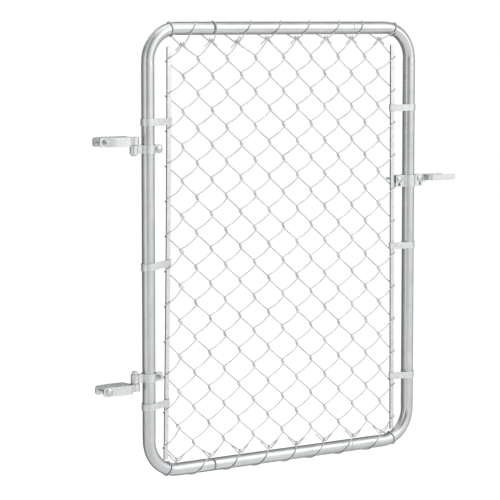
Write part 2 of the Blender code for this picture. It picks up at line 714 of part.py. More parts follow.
def make_hinge(prefix, height, upward, metals, post, leaf):
    """One hinge: strap, pintle and bolt on the post side, collar and bolt on the leaf."""
    zinc, bright = metals
    make_post_strap(prefix + "_post_strap", height, zinc, post)
    make_pintle(prefix + "_pintle", height, upward, zinc, post)
    bolt_x = -STRAP_ARM + POST_BOLT_INSET
    outside = POST_GAP / 2 + STRAP_THICKNESS + SEAT
    tail = outside + NUT_HEIGHT + POST_BOLT_TAIL
    make_bolt(prefix + "_post_bolt", bolt_x, height, -upward * outside, upward * tail, bright, post)
    make_nut(prefix + "_post_nut", bolt_x, height, upward * outside, upward, bright, post)

    low = height + BOSS_HEIGHT / 2 + SEAT
    if upward < 0:
        low = height - BOSS_HEIGHT / 2 - SEAT - COLLAR_HEIGHT
    make_collar(prefix + "_gate_collar", low, zinc, leaf)
    middle = low + COLLAR_HEIGHT / 2
    bolt_x = hinge_stile_x + COLLAR_BOLT_OFFSET
    outside = COLLAR_SLIT / 2 + COLLAR_THICKNESS + SEAT
    tail = outside + NUT_HEIGHT + COLLAR_BOLT_TAIL
    make_bolt(prefix + "_collar_bolt", bolt_x, middle, upward * outside, -upward * tail, bright, leaf)
    make_nut(prefix + "_collar_nut", bolt_x, middle, -upward * outside, -upward, bright, leaf)


def make_latch(metals, leaf, fork):
    zinc, bright = metals
    make_plate("latch_front_plate", -1, zinc, leaf)
    make_plate("latch_back_plate", 1, zinc, leaf)
    outside = PLATE_SLIT / 2 + PLATE_THICKNESS + SEAT
    for name, side in (("latch_clamp", -1), ("latch_pivot", 1)):
        x = latch_stile_x + side * PLATE_BOLT_OFFSET
        make_bolt(name + "_bolt", x, latch_z, -outside, LATCH_BOLT_REACH, bright, leaf)
        make_nut(name + "_nut", x, latch_z, outside, 1, bright, leaf)
    make_fork(zinc, fork)


def main():
    clear_scene()
    tube = metal("galvanised_tube", (0.60, 0.61, 0.62), 0.38, 0.9)
    wire = metal("galvanised_wire", (0.62, 0.63, 0.64), 0.45, 0.9)
    zinc = metal("dipped_zinc_strap", (0.63, 0.64, 0.65), 0.5, 0.85)
    bright = metal("plated_bolt", (0.70, 0.71, 0.72), 0.3, 1.0)

    post = add_empty("post_side", (0, 0, 0))
    leaf = add_empty("gate_leaf", (pintle_x, 0, 0))
    fork = add_empty("fork", (pivot_x, 0, latch_z))

    make_stile("hinge_stile", hinge_stile_x, 1, HINGE_LEG, tube, leaf)
    make_stile("latch_stile", latch_stile_x, -1, LATCH_LEG, tube, leaf)
    make_rail("top_rail", top_axis, tube, leaf)
    make_rail("bottom_rail", bottom_axis, tube, leaf)
    make_fabric(wire, leaf)
    make_bar("hinge_side_tension_bar", hinge_bar_x, zinc, leaf)
    make_bar("latch_side_tension_bar", latch_bar_x, zinc, leaf)
    for i, height in enumerate(hinge_clip_heights):
        make_clip("hinge_side_clip_%d" % (i + 1), hinge_stile_x, hinge_bar_x, height, HINGE_CLIP_RISES[i],
                  zinc, leaf)
    for i, height in enumerate(latch_clip_heights):
        make_clip("latch_side_clip_%d" % (i + 1), latch_stile_x, latch_bar_x, height, 0, zinc, leaf)
    make_lacing("top_lacing_wire", 1, top_knuckle, TOP_LEAN, wire, leaf)
    make_lacing("bottom_lacing_wire", -1, bottom_knuckle, BOTTOM_LEAN, wire, leaf)

    make_hinge("lower", 0, 1, (zinc, bright), post, leaf)
    make_hinge("upper", upper_strap_z, -1, (zinc, bright), post, leaf)
    make_latch((zinc, bright), leaf, fork)


main()
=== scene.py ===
"""Dresses the chain link gate: smooth bent tube, woven wire, dipped straps and plated bolts.

Metres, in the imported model's frame: +X from the hinge side to the latch side, -Y the front,
+Z up. Laid out as an add-on, and run as a script.
"""
import json
import math
import random

import bmesh
import bpy
import numpy as np
from bpy.props import FloatProperty, IntProperty, PointerProperty, StringProperty
from mathutils import Matrix, Vector


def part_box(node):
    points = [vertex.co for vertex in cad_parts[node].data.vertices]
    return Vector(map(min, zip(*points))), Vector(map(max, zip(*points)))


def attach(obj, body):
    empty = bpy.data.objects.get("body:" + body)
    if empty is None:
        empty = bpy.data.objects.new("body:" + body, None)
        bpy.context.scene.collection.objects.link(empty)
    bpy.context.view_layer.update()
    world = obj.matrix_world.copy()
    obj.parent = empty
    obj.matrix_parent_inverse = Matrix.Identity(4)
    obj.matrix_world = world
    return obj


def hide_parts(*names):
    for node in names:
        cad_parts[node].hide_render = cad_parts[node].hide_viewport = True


bl_info = {
    "name": "Chain Link Gate",
    "version": (1, 0, 0),
    "blender": (4, 5, 0),
    "location": "3D View > Sidebar > Gate",
    "description": "Builds a galvanised chain link walk gate with its hinges and fork latch",
    "category": "Add Mesh",
}

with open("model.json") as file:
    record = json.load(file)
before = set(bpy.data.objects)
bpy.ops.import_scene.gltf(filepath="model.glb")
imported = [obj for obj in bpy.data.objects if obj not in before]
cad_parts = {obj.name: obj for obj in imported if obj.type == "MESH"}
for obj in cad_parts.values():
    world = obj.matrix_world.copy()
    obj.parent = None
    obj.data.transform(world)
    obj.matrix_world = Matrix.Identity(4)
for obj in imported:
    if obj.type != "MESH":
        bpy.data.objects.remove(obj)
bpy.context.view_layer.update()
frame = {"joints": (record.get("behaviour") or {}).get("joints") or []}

MM = 0.001

# Clearances: where one piece seats on another, round a bolt in its hole, round a pin in its eye
SEAT = 0.3 * MM
HOLE_SLACK = 0.35 * MM
EYE_SLACK = 0.4 * MM
PIN_RADIUS = 7.9 * MM
# Edges sharper than this stay sharp in shading and get a bevel, degrees
SHARP_ANGLE = 40
BEND_STEPS = 28

# How the slack panel hangs, mm: every joint up, then more to the right, less towards the sides
# and less towards the top and the foot
BELLY = (13.3, 1.8, -3.4, -4.8)
# And across, mm: wider towards the sides, more so at the foot, and every joint to the left
SPREAD = (2.5, -5.5, -2.0)
# The tension bars' axes, mm from their stiles' axes: at the foot, their lean and their bow
BARS = ((52.4, 22.6, -8.8), (56.0, 5.0, 0.0))

# A picket's turn, travelling up with its tip to the right: across, share of the depth, height
TURN = ((-1.5, -1.0, -9.0), (2.2, -0.7, -5.7), (3.6, 0.0, -3.2), (1.8, 0.7, 1.0), (-1.5, 1.0, 5.3))
# How much wider the turns stand open in the first and last columns, where the bars pull, and
# how many rows from the bottom do so
OUTER_SLACK = 1.6
OUTER_SLACK_ROWS = 7
# A picket's end: past the knuckle's middle, share of the depth, towards the rail
KNUCKLE = ((-1.5, 1.0, -4.0), (1.2, 0.9, 1.0), (3.8, 0.25, 3.2), (7.0, -1.0, 0.6), (11.5, -2.05, -6.0),
           (24.0, -2.1, -17.5))
# Knuckles along the rails: mm from the hinge stile's axis, and mm above or below their row
TOP_KNUCKLES = ((107.7, -9.0), (200.2, 0.8), (284.5, -3.3), (383.6, 5.8), (482.9, 6.0), (584.1, 6.0),
                (673.1, 5.6), (770.9, 2.2))
BOTTOM_KNUCKLES = ((87.0, 0.0), (194.8, 0.0), (293.8, 0.0), (391.3, 0.0), (485.4, 0.0), (581.2, 0.0),
                   (684.1, 0.0), (785.0, 0.0))
# The top wrap that runs steeply beside the joint of tube and rail: knuckle's column, lean in mm
STEEP_WRAP = (3, 6.0, -5.0, 44.0)
# A lacing loop in its knuckle, mm: past its middle, to the back, away from the rail
LACING_LOOP = ((-4.0, 6.5, 2.0), (-1.8, 3.6, 4.8), (1.8, -3.6, 4.8), (4.0, -6.5, 2.0))
# A loop left standing open above one top knuckle: past its middle, towards the front, up, mm
OPEN_KNUCKLE = 5
OPEN_LOOP = ((-2.0, 5.0, 3.0), (1.5, 6.0, 9.5), (5.0, 6.0, 13.5), (7.5, 6.0, 12.0), (6.5, 6.5, 6.0),
             (3.0, 7.0, 0.0))
# Where the lacing's first and last coils stand, mm from their stiles' axes, and their pitch
FIRST_COIL = {1: 72.0, -1: 60.0}
LAST_COIL = 62.0
COIL_PITCH = 6.0
COIL_STEPS = 36
WRAP_STEPS = 20
# How far a wrap may wander along its rail, mm
WRAP_WANDER = 5.0

# Carriage bolts: the domed head and the rolled thread
HEAD_RADIUS = 10.3 * MM
HEAD_HEIGHT = 4.2 * MM
THREAD_LENGTH = 25.0 * MM
THREAD_PITCH = 1.4 * MM
THREAD_DEPTH = 0.75 * MM

# How far each loose post strap's front and back arms have closed in, and how much longer they
# reach, mm; the arms bend in from BEND_START, over BEND_LENGTH
SQUEEZE = {"upper": (12.0, 8.0), "lower": (4.0, 7.0)}
LONGER = {"upper": 6.0, "lower": 2.0}
BEND_START = 38.0 * MM
BEND_LENGTH = 48.0 * MM

# Brightness of the walls and of the floor as gloss sees them, by compass degrees round the gate
WALL_TONES = ((-180, 0.45), (-147, 0.12), (-126, 0.44), (-104, 0.55), (-92, 0.84), (-68, 0.84),
              (-56, 0.36), (-30, 0.36), (-8, 0.95), (12, 1.22), (44, 1.24), (70, 0.88), (92, 0.44),
              (125, 0.3), (147, 0.18), (180, 0.45))
FLOOR_TONES = ((-180, 0.4), (-147, 0.1), (-120, 0.4), (-95, 0.8), (-60, 0.88), (-30, 0.88),
               (0, 1.0), (40, 1.02), (66, 0.9), (86, 0.6), (120, 0.45), (147, 0.15), (180, 0.4))

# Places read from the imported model
hinge_low, hinge_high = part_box("hinge_stile")
latch_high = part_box("latch_stile")[1]
tube_radius = (hinge_high[1] - hinge_low[1]) / 2
hinge_x = hinge_low[0] + tube_radius
latch_x = latch_high[0] - tube_radius
frame_low = hinge_low[2]
frame_high = hinge_high[2]
bar_low, bar_high = [corner[2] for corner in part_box("hinge_side_tension_bar")]
pintle_x = frame["joints"][0]["pos_m"][0]


def size(label, default, text):
    """A length that the user may change; its default is given here in millimetres."""
    return FloatProperty(name=label, description=text, default=default * MM, min=0.0, precision=5,
                         subtype="DISTANCE", unit="LENGTH")


def hex_colour(label, default, text):
    """A colour that the user may change, as an sRGB hex value."""
    return StringProperty(name=label, description=text + ", sRGB hex", default=default)


class TubeSettings(bpy.types.PropertyGroup):
    """Bent stiles and the two rails between them."""
    corner_radius: size("Corner radius", 105.0, "Outer radius of the four bends")
    hinge_leg: size("Hinge side leg", 200.0, "From the hinge stile's axis to its joint with the rail")
    latch_leg: size("Latch side leg", 208.0, "From the latch stile's axis to its joint with the rail")
    bend_squeeze: size("Bend squeeze", 0.45, "How much narrower the tube's radius is in a bend")
    sides: IntProperty(name="Sides", description="Sides of a tube's section", default=56, min=12)
    finish: hex_colour("Zinc", "#D0D2D3", "Flow-coated zinc")


class FabricSettings(bpy.types.PropertyGroup):
    """Woven wire panel, its tension bars, clips and lacing."""
    wire: size("Wire", 3.1, "Wire diameter over its zinc")
    pickets: IntProperty(name="Pickets", description="Woven wires across the panel", default=16, min=2)
    rows: IntProperty(name="Rows", description="Diamonds from bottom to top", default=12, min=2)
    pitch: size("Pitch", 94.05, "Height of one diamond")
    lowest_loop: size("Lowest loop", 79.0, "Lowest loop on the bar, above the frame's bottom")
    bottom_knuckle: size("Bottom knuckle", 43.0, "Bottom knuckles above the frame's bottom")
    top_knuckle: size("Top knuckle", 1170.0, "Top knuckles above the frame's bottom")
    depth: size("Depth", 3.1, "From the panel's middle to the wire's axis")
    bar_width: size("Bar width", 12.7, "Width of a tension bar")
    bar_thickness: size("Bar thickness", 4.8, "Thickness of a tension bar")
    finish: hex_colour("Wire zinc", "#DCDEDF", "Drawn and zinc coated wire")


class FittingSettings(bpy.types.PropertyGroup):
    """Hinge straps, collars, pins, latch and fasteners."""
    strap: size("Strap thickness", 3.5, "Thickness of the post straps")
    strap_height: size("Strap height", 25.0, "Height of the post straps")
    arm: size("Arm length", 84.0, "Reach of a post strap's arms")
    post_gap: size("Post gap", 50.0, "Clear width between a post strap's arms")
    collar: size("Collar thickness", 2.6, "Thickness of the collars on the stile")
    fork_gap: size("Fork gap", 50.0, "Clear width between the fork's prongs")
    bolt: size("Bolt", 7.8, "Bolt diameter")
    zinc: hex_colour("Dipped zinc", "#DCDEDE", "Hot-dip zinc on pressed parts")
    plating: hex_colour("Plating", "#D4D6D7", "Electroplated zinc on bolts")


class StageSettings(bpy.types.PropertyGroup):
    """Camera, lamps, world and floor."""
    azimuth: FloatProperty(name="Azimuth", description="Camera's angle round the gate",
                           default=math.radians(-34.65), subtype="ANGLE", unit="ROTATION")
    elevation: FloatProperty(name="Elevation", description="Camera's angle above level",
                             default=math.radians(4.79), subtype="ANGLE", unit="ROTATION")
    distance: FloatProperty(name="Distance", description="From the camera to its target",
                            default=5.892, subtype="DISTANCE", unit="LENGTH")
    floor_drop: FloatProperty(name="Floor drop", description="From the gate's bottom down to the floor",
                              default=0.3, subtype="DISTANCE", unit="LENGTH")
    floor_tone: hex_colour("Floor", "#F4F4F3", "Pale floor")


def linear(code):
    """An sRGB hex value as a linear colour with alpha."""
    channels = [int(code[i:i + 2], 16) / 255 for i in (1, 3, 5)]
    return tuple(c / 12.92 if c <= 0.04045 else ((c + 0.055) / 1.055) ** 2.4 for c in channels) + (1.0,)


def shade(code, factor):
    """The same hex colour, lighter or darker by a factor of its sRGB values."""
    channels = [min(255, round(int(code[i:i + 2], 16) * factor)) for i in (1, 3, 5)]
    return "#%02X%02X%02X" % tuple(channels)


def add(tree, kind, inputs=None, stops=(), **settings):
    """Add a node with its settings; an input is a value, or a socket to link from.

    The stops are a colour ramp's, as (position, colour).
    """
    made = tree.nodes.new(kind)
    for name, value in settings.items():
        setattr(made, name, value)
    for name, value in (inputs or {}).items():
        if isinstance(value, bpy.types.NodeSocket):
            tree.links.new(value, made.inputs[name])
        else:
            made.inputs[name].default_value = value
    if stops:
        while len(made.color_ramp.elements) < len(stops):
            made.color_ramp.elements.new(0.5)
        for element, (position, colour) in zip(made.color_ramp.elements, stops):
            element.position = position
            element.color = colour
    return made


def grey(value):
    """A neutral linear colour with alpha."""
    return (value, value, value, 1.0)


def per(length):
    """A pattern's scale in metres of object space, from the size of its features in mm."""
    return 1 / (length * MM)


def varied(code, low, high):
    """A ramp's stops that vary a hex colour about itself."""
    return [(0.3, linear(shade(code, low))), (0.5, linear(code)), (0.7, linear(shade(code, high)))]


def new_material(name):
    """A material by its name, with its node tree and its shader."""
    material = bpy.data.materials.new(name)
    material.use_nodes = True
    tree = material.node_tree
    return material, tree, tree.nodes["Principled BSDF"]


def dulled(tree, colour, reach, darkest):
    """Painted shade: a colour darkened in folds, joints and gaps, where other surfaces come within a reach in
    mm.
    """
    fold = add(tree, "ShaderNodeAmbientOcclusion", {"Distance": reach * MM}, samples=8)
    crevice_shade = add(tree, "ShaderNodeValToRGB", {"Fac": fold.outputs["AO"]},
                stops=[(0.2, grey(darkest)), (0.55, grey(1.0))])
    return multiplied(tree, colour, crevice_shade.outputs["Color"])


def multiplied(tree, colour, marks):
    """A colour darkened or brightened by marks laid over it."""
    made = add(tree, "ShaderNodeMix", {"Factor": 1.0, "A": colour, "B": marks},
               data_type="RGBA", blend_type="MULTIPLY")
    return made.outputs[2]


def coat(tree, shader, colour, rough, relief, metallic):
    """Give a metal its colour, its roughness from one pattern and its relief from another.

    rough is (pattern, roughness where it is low, and where it is high); relief is
    (pattern, strength, depth in mm).
    """
    tree.links.new(colour, shader.inputs["Base Color"])
    pattern, low, high = rough
    spread = add(tree, "ShaderNodeMapRange", {"Value": pattern, "From Min": 0.3, "From Max": 0.7,
                                              "To Min": low, "To Max": high})
    tree.links.new(spread.outputs["Result"], shader.inputs["Roughness"])
    pattern, strength, deep = relief
    bump = add(tree, "ShaderNodeBump", {"Height": pattern, "Strength": strength, "Distance": deep * MM})
    tree.links.new(bump.outputs["Normal"], shader.inputs["Normal"])
    shader.inputs["Metallic"].default_value = metallic


def flow_coated_zinc_tube(code):
    """Flow-coated galvanised steel tube: strip roll-formed, seam-welded and run through zinc.

    The eye sees a satin, nearly even grey with faint lengthwise draw lines about 2 mm apart,
    soft cloudy patches 30 to 60 mm long, and small dull scuffs from handling.
    """
    material, tree, shader = new_material("flow_coated_zinc_tube")
    place = add(tree, "ShaderNodeTexCoord")
    # The UVs are in mm: lines 1.8 mm apart and 83 mm long
    along = add(tree, "ShaderNodeMapping", {"Vector": place.outputs["UV"],
                                            "Scale": (1 / 1.82, 1 / 83.3, 1.0)})
    lines = add(tree, "ShaderNodeTexNoise", {"Vector": along.outputs["Vector"], "Scale": 1.0, "Detail": 3.0})
    cloud = add(tree, "ShaderNodeTexNoise", {"Vector": place.outputs["Object"], "Scale": per(45.45),
                                             "Detail": 4.0, "Roughness": 0.55})
    spangle = add(tree, "ShaderNodeTexVoronoi", {"Vector": place.outputs["Object"], "Scale": per(7.69)})
    scuff = add(tree, "ShaderNodeTexNoise", {"Vector": place.outputs["Object"], "Scale": per(15.38),
                                             "Detail": 6.0, "Roughness": 0.7})
    mixed = add(tree, "ShaderNodeMix", {"Factor": 0.5, "A": cloud.outputs["Fac"], "B": lines.outputs["Fac"]})
    colour = add(tree, "ShaderNodeValToRGB", {"Fac": mixed.outputs["Result"]}, stops=varied(code, 0.93, 1.05))
    marks = add(tree, "ShaderNodeValToRGB", {"Fac": scuff.outputs["Fac"]},
                stops=[(0.28, grey(0.88)), (0.38, grey(1.0))])
    marked = multiplied(tree, colour.outputs["Color"], marks.outputs["Color"])
    grain = add(tree, "ShaderNodeMath", {0: lines.outputs["Fac"], 1: spangle.outputs["Distance"]},
                operation="ADD")
    # Painted shade: the colour darkens where other surfaces come within 4 mm, in the joints and under the
    # lacing
    coat(tree, shader, dulled(tree, marked, 4.0, 0.3), (cloud.outputs["Fac"], 0.2, 0.27),
         (grain.outputs[0], 0.05, 0.4), 0.92)
    return material


def zinc_coated_wire(code):
    """Galvanised steel wire, drawn through a die and dipped before weaving.

    The eye sees a brighter, softer metal than the tube, with slight lumps of zinc 4 to 8 mm apart and duller
    patches here and there. Painted shade darkens it where the wires cross and bend round each other.
    """
    material, tree, shader = new_material("zinc_coated_wire")
    place = add(tree, "ShaderNodeTexCoord")
    lumps = add(tree, "ShaderNodeTexNoise", {"Vector": place.outputs["Object"], "Scale": per(6.25),
                                             "Detail": 3.0, "Roughness": 0.6})
    patch = add(tree, "ShaderNodeTexNoise", {"Vector": place.outputs["Object"], "Scale": per(33.33),
                                             "Detail": 2.0})
    colour = add(tree, "ShaderNodeValToRGB", {"Fac": patch.outputs["Fac"]},
                 stops=[(0.32, linear(shade(code, 0.90))), (0.5, linear(code)),
                        (0.68, linear(shade(code, 1.06)))])
    # Painted shade: the colour darkens where other wires come within 3 mm, at crossings and knuckles
    coat(tree, shader, dulled(tree, colour.outputs["Color"], 3.0, 0.4), (lumps.outputs["Fac"], 0.38, 0.5),
         (lumps.outputs["Fac"], 0.12, 0.4), 0.45)
    return material


def hot_dip_zinc_strap(code):
    """Hot-dip galvanised pressed steel: stamped, bent and dipped in molten zinc.

    The eye sees a matt pale grey, mottled in crystals of 3 to 6 mm, with pinhole roughness and brighter
    rubbed edges. Painted shade darkens its folds and joints, and the narrow faces along its edges and ends.
    The pinholes are under 1 mm, and are drawn at 1.1 mm.
    """
    material, tree, shader = new_material("hot_dip_zinc_strap")
    place = add(tree, "ShaderNodeTexCoord")
    crystal = add(tree, "ShaderNodeTexVoronoi", {"Vector": place.outputs["Object"], "Scale": per(4.76)})
    cell = add(tree, "ShaderNodeSeparateColor", {"Color": crystal.outputs["Color"]})
    cloud = add(tree, "ShaderNodeTexNoise", {"Vector": place.outputs["Object"], "Scale": per(13.33),
                                             "Detail": 5.0, "Roughness": 0.6})
    grit = add(tree, "ShaderNodeTexNoise", {"Vector": place.outputs["Object"], "Scale": per(1.111),
                                            "Detail": 2.0})
    mixed = add(tree, "ShaderNodeMix", {"Factor": 0.35, "A": cloud.outputs["Fac"], "B": cell.outputs["Red"]})
    colour = add(tree, "ShaderNodeValToRGB", {"Fac": mixed.outputs["Result"]}, stops=varied(code, 0.96, 1.03))
    edge = add(tree, "ShaderNodeNewGeometry")
    rubbed = add(tree, "ShaderNodeValToRGB", {"Fac": edge.outputs["Pointiness"]},
                 stops=[(0.5, grey(1.0)), (0.56, grey(1.06))])
    # Painted shade on the marked faces: their colour drops to a fifth, so that narrow edges and ends read
    # dark
    mark = add(tree, "ShaderNodeAttribute", attribute_name="painted_shade_faces")
    side_shade = add(tree, "ShaderNodeValToRGB", {"Fac": mark.outputs["Fac"]},
               stops=[(0.0, grey(1.0)), (1.0, grey(0.2))])
    edged = multiplied(tree, multiplied(tree, colour.outputs["Color"], rubbed.outputs["Color"]),
                       side_shade.outputs["Color"])
    # Painted shade: the colour darkens where other surfaces come within 8 mm, in folds, joints and gaps
    coat(tree, shader, dulled(tree, edged, 8.0, 0.15), (mixed.outputs["Result"], 0.28, 0.36),
         (grit.outputs["Fac"], 0.06, 0.3), 0.78)
    return material


def bright_zinc_plated_bolt(code):
    """Zinc electroplated steel fastener: cold-headed, thread-rolled and barrel plated.

    The eye sees a brighter, smoother metal than the straps, with rub marks about 4 mm across.
    """
    material, tree, shader = new_material("bright_zinc_plated_bolt")
    place = add(tree, "ShaderNodeTexCoord")
    rub = add(tree, "ShaderNodeTexNoise", {"Vector": place.outputs["Object"], "Scale": per(4.167),
                                           "Detail": 4.0, "Roughness": 0.65})
    colour = add(tree, "ShaderNodeValToRGB", {"Fac": rub.outputs["Fac"]},
                 stops=[(0.3, linear(shade(code, 0.86))), (0.55, linear(code))])
    coat(tree, shader, colour.outputs["Color"], (rub.outputs["Fac"], 0.34, 0.2),
         (rub.outputs["Fac"], 0.1, 0.3), 1.0)
    return material


def finish(name):
    """The gate's materials, each made once."""
    scene = bpy.context.scene
    maker, code = {
        "tube": (flow_coated_zinc_tube, scene.gate_tubes.finish),
        "wire": (zinc_coated_wire, scene.gate_fabric.finish),
        "strap": (hot_dip_zinc_strap, scene.gate_fittings.zinc),
        "bolt": (bright_zinc_plated_bolt, scene.gate_fittings.plating),
    }[name]
    return bpy.data.materials.get(maker.__name__) or maker(code)


def place_piece(thing, body, node, slot):
    """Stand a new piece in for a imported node, on the body that carries it."""
    thing.data.materials.clear()
    thing.data.materials.append(finish(slot))
    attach(thing, body)
    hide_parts(node)
    return thing


def link(name, mesh):
    """Put a mesh into the scene as an object."""
    thing = bpy.data.objects.new(name, mesh)
    bpy.context.collection.objects.link(thing)
    return thing


def from_bmesh(name, bm, angle=SHARP_ANGLE):
    """Make an object of what was built, smooth but for its sharp edges."""
    bmesh.ops.recalc_face_normals(bm, faces=bm.faces[:])
    mesh = bpy.data.meshes.new(name)
    bm.to_mesh(mesh)
    bm.free()
    mesh.shade_smooth()
    mesh.set_sharp_from_angle(angle=math.radians(angle))
    return link(name, mesh)


def curve_through(points, steps):
    """A smooth curve that passes every point, with even steps between neighbours."""
    p = np.array([tuple(q) for q in points], dtype=float)
    p = np.vstack([2 * p[0] - p[1], p, 2 * p[-1] - p[-2]])
    out = []
    for i in range(1, len(p) - 2):
        a, b, c, d = p[i - 1], p[i], p[i + 1], p[i + 2]
        t0 = 0.0
        t1 = t0 + max(np.linalg.norm(b - a), 1e-9) ** 0.5
        t2 = t1 + max(np.linalg.norm(c - b), 1e-9) ** 0.5
        t3 = t2 + max(np.linalg.norm(d - c), 1e-9) ** 0.5
        for n in range(steps):
            t = t1 + (t2 - t1) * n / steps
            ab = (t1 - t) / (t1 - t0) * a + (t - t0) / (t1 - t0) * b
            bc = (t2 - t) / (t2 - t1) * b + (t - t1) / (t2 - t1) * c
            cd = (t3 - t) / (t3 - t2) * c + (t - t2) / (t3 - t2) * d
            abc = (t2 - t) / (t2 - t0) * ab + (t - t0) / (t2 - t0) * bc
            bcd = (t3 - t) / (t3 - t1) * bc + (t - t1) / (t3 - t1) * cd
            out.append((t2 - t) / (t2 - t1) * abc + (t - t1) / (t2 - t1) * bcd)
    out.append(p[-2])
    return [Vector(q) for q in out]


def round_sweep(name, strands, sides, up=(0, 1, 0)):
    """Round sections along smooth paths, with UVs in millimetres round and along each strand.

    A strand is (points, radii); the radii are one number or one for each point.
    """
    verts, faces, uvs = [], [], []
    for points, radii in strands:
        count = len(points)
        if not hasattr(radii, "__len__"):
            radii = [radii] * count
        ways = [(points[min(i + 1, count - 1)] - points[max(i - 1, 0)]).normalized()
                for i in range(count)]
        side = ways[0].cross(Vector(up)).normalized()
        run = 0.0
        base = len(verts)
        runs = []
        for i, place in enumerate(points):
            if i:
                side = ways[i - 1].rotation_difference(ways[i]) @ side
                run += (place - points[i - 1]).length
            side = (side - ways[i] * side.dot(ways[i])).normalized()
            top = side.cross(ways[i])
            runs.append(run)
            for k in range(sides):
                turn = 2 * math.pi * k / sides
                verts.append(place + (side * math.cos(turn) + top * math.sin(turn)) * radii[i])
        across = 2 * math.pi * radii[0] / sides / MM
        for i in range(count - 1):
            for k in range(sides):
                j = (k + 1) % sides
                a = base + i * sides
                faces.append((a + k, a + j, a + sides + j, a + sides + k))
                low, high = runs[i] / MM, runs[i + 1] / MM
                uvs += [(k * across, low), ((k + 1) * across, low),
                        ((k + 1) * across, high), (k * across, high)]
        last = base + (count - 1) * sides
        faces.append(tuple(base + k for k in range(sides))[::-1])
        faces.append(tuple(last + k for k in range(sides)))
        uvs += [(0.0, 0.0)] * (2 * sides)
    mesh = bpy.data.meshes.new(name)
    mesh.from_pydata([tuple(v) for v in verts], [], faces)
    layer = mesh.uv_layers.new(name="millimetres")
    layer.data.foreach_set("uv", [c for pair in uvs for c in pair])
    mesh.shade_smooth()
    mesh.set_sharp_from_angle(angle=math.radians(50))
    mesh.update()
    bm = bmesh.new()
    bm.from_mesh(mesh)
    bmesh.ops.recalc_face_normals(bm, faces=bm.faces[:])
    bm.to_mesh(mesh)
    bm.free()
    return link(name, mesh)


def arc(centre, radius, start, end, steps):
    """Points on an arc in plan, angles in degrees."""
    points = []
    for i in range(steps + 1):
        angle = math.radians(start + (end - start) * i / steps)
        points.append((centre[0] + radius * math.cos(angle), centre[1] + radius * math.sin(angle)))
    return points


def strip_outline(path, thickness):
    """Both faces of a bent strip whose middle line is the path, as one outline."""
    path = [Vector(p) for p in path]
    ways = [(b - a).normalized() for a, b in zip(path, path[1:])]
    left, right = [], []
    for i, place in enumerate(path):
        before = ways[max(i - 1, 0)]
        after = ways[min(i, len(ways) - 1)]
        normal = Vector((-before.y - after.y, before.x + after.x)).normalized()
        reach = thickness / 2 / normal.dot(Vector((-before.y, before.x)))
        left.append(tuple(place + normal * reach))
        right.append(tuple(place - normal * reach))
    return left + right[::-1]


def prism(bm, outline, low, high, painted_shade_faces="strip"):
    """An outline in plan, raised from low to high; painted shade is marked on a strip's caps and ends, or on
    all of a plate's sides.
    """
    mark = shear_mark(bm)
    bottom = [bm.verts.new((x, y, low)) for x, y in outline]
    top = [bm.verts.new((x, y, high)) for x, y in outline]
    for cap in (bottom, top):
        bm.faces.new(cap)[mark] = float(painted_shade_faces == "strip")
    strip_ends = (len(outline) // 2 - 1, len(outline) - 1)
    for i in range(len(outline)):
        j = (i + 1) % len(outline)
        face = bm.faces.new((bottom[i], bottom[j], top[j], top[i]))
        face[mark] = float(painted_shade_faces == "plate" or (painted_shade_faces == "strip" and i in strip_ends))


def shear_mark(bm):
    """The face layer that the zinc reads for painted shade: 1 on the faces that are drawn darker."""
    return bm.faces.layers.float.get("painted_shade_faces") or bm.faces.layers.float.new("painted_shade_faces")


def round_ends(bm, corners, radius):
    """Round a strip's end: the edges along Y at the given corners."""
    edges = []
    for e in bm.edges:
        a, b = e.verts
        level = abs(a.co.x - b.co.x) < 1e-6 and abs(a.co.z - b.co.z) < 1e-6
        if level and any(abs(a.co.x - x) < 1e-5 and abs(a.co.z - z) < 1e-5 for x, z in corners):
            edges.append(e)
    bmesh.ops.bevel(bm, geom=edges, offset=radius, segments=6, affect="EDGES", profile=0.5)


def soften(thing, width, segments=2):
    """Break the sharp edges of a pressed or cut piece."""
    bevel = thing.modifiers.new("broken_edges", "BEVEL")
    bevel.width = width
    bevel.segments = segments
    bevel.limit_method = "ANGLE"
    bevel.angle_limit = math.radians(SHARP_ANGLE)
    bevel.harden_normals = True
    return thing


def apply_boolean(thing, other, operation):
    """Cut or join with another mesh, which is then gone."""
    modifier = thing.modifiers.new("form", "BOOLEAN")
    modifier.operation = operation
    modifier.solver = "EXACT"
    modifier.object = other
    mesh = bpy.data.meshes.new_from_object(thing.evaluated_get(bpy.context.evaluated_depsgraph_get()))
    thing.modifiers.clear()
    thing.data = mesh
    bpy.data.objects.remove(other, do_unlink=True)
    mesh.shade_smooth()
    mesh.set_sharp_from_angle(angle=math.radians(SHARP_ANGLE))
    return thing


def turned(bm, profile, sides):
    """Turn a profile of (radius, height) about Z; radius 0 closes an end."""
    rings = []
    for radius, height in profile:
        if radius == 0:
            rings.append([bm.verts.new((0, 0, height))])
        else:
            rings.append([bm.verts.new((radius * math.cos(2 * math.pi * i / sides),
                                        radius * math.sin(2 * math.pi * i / sides), height))
                          for i in range(sides)])
    for low, high in zip(rings, rings[1:]):
        for i in range(sides):
            j = (i + 1) % sides
            corners = [low[i % len(low)], low[j % len(low)], high[j % len(high)], high[i % len(high)]]
            corners = [v for n, v in enumerate(corners) if v not in corners[:n]]
            bm.faces.new(corners)


def along_y(bm, x, y, z, facing):
    """Lay what was turned about Z along Y, its +Z towards the given side."""
    turn = Matrix.Rotation(math.radians(-90 * facing), 4, "X")
    bm.transform(Matrix.Translation((x, y, z)) @ turn)


def drill(thing, x, z, radius, reach):
    """A clean round hole along Y."""
    bm = bmesh.new()
    turned(bm, [(0, -reach), (radius, -reach), (radius, reach), (0, reach)], 28)
    along_y(bm, x, 0, z, 1)
    return apply_boolean(thing, from_bmesh("drill", bm), "DIFFERENCE")


def bolt_hole(values):
    """The radius of a hole that a bolt goes through."""
    return values.bolt / 2 + HOLE_SLACK


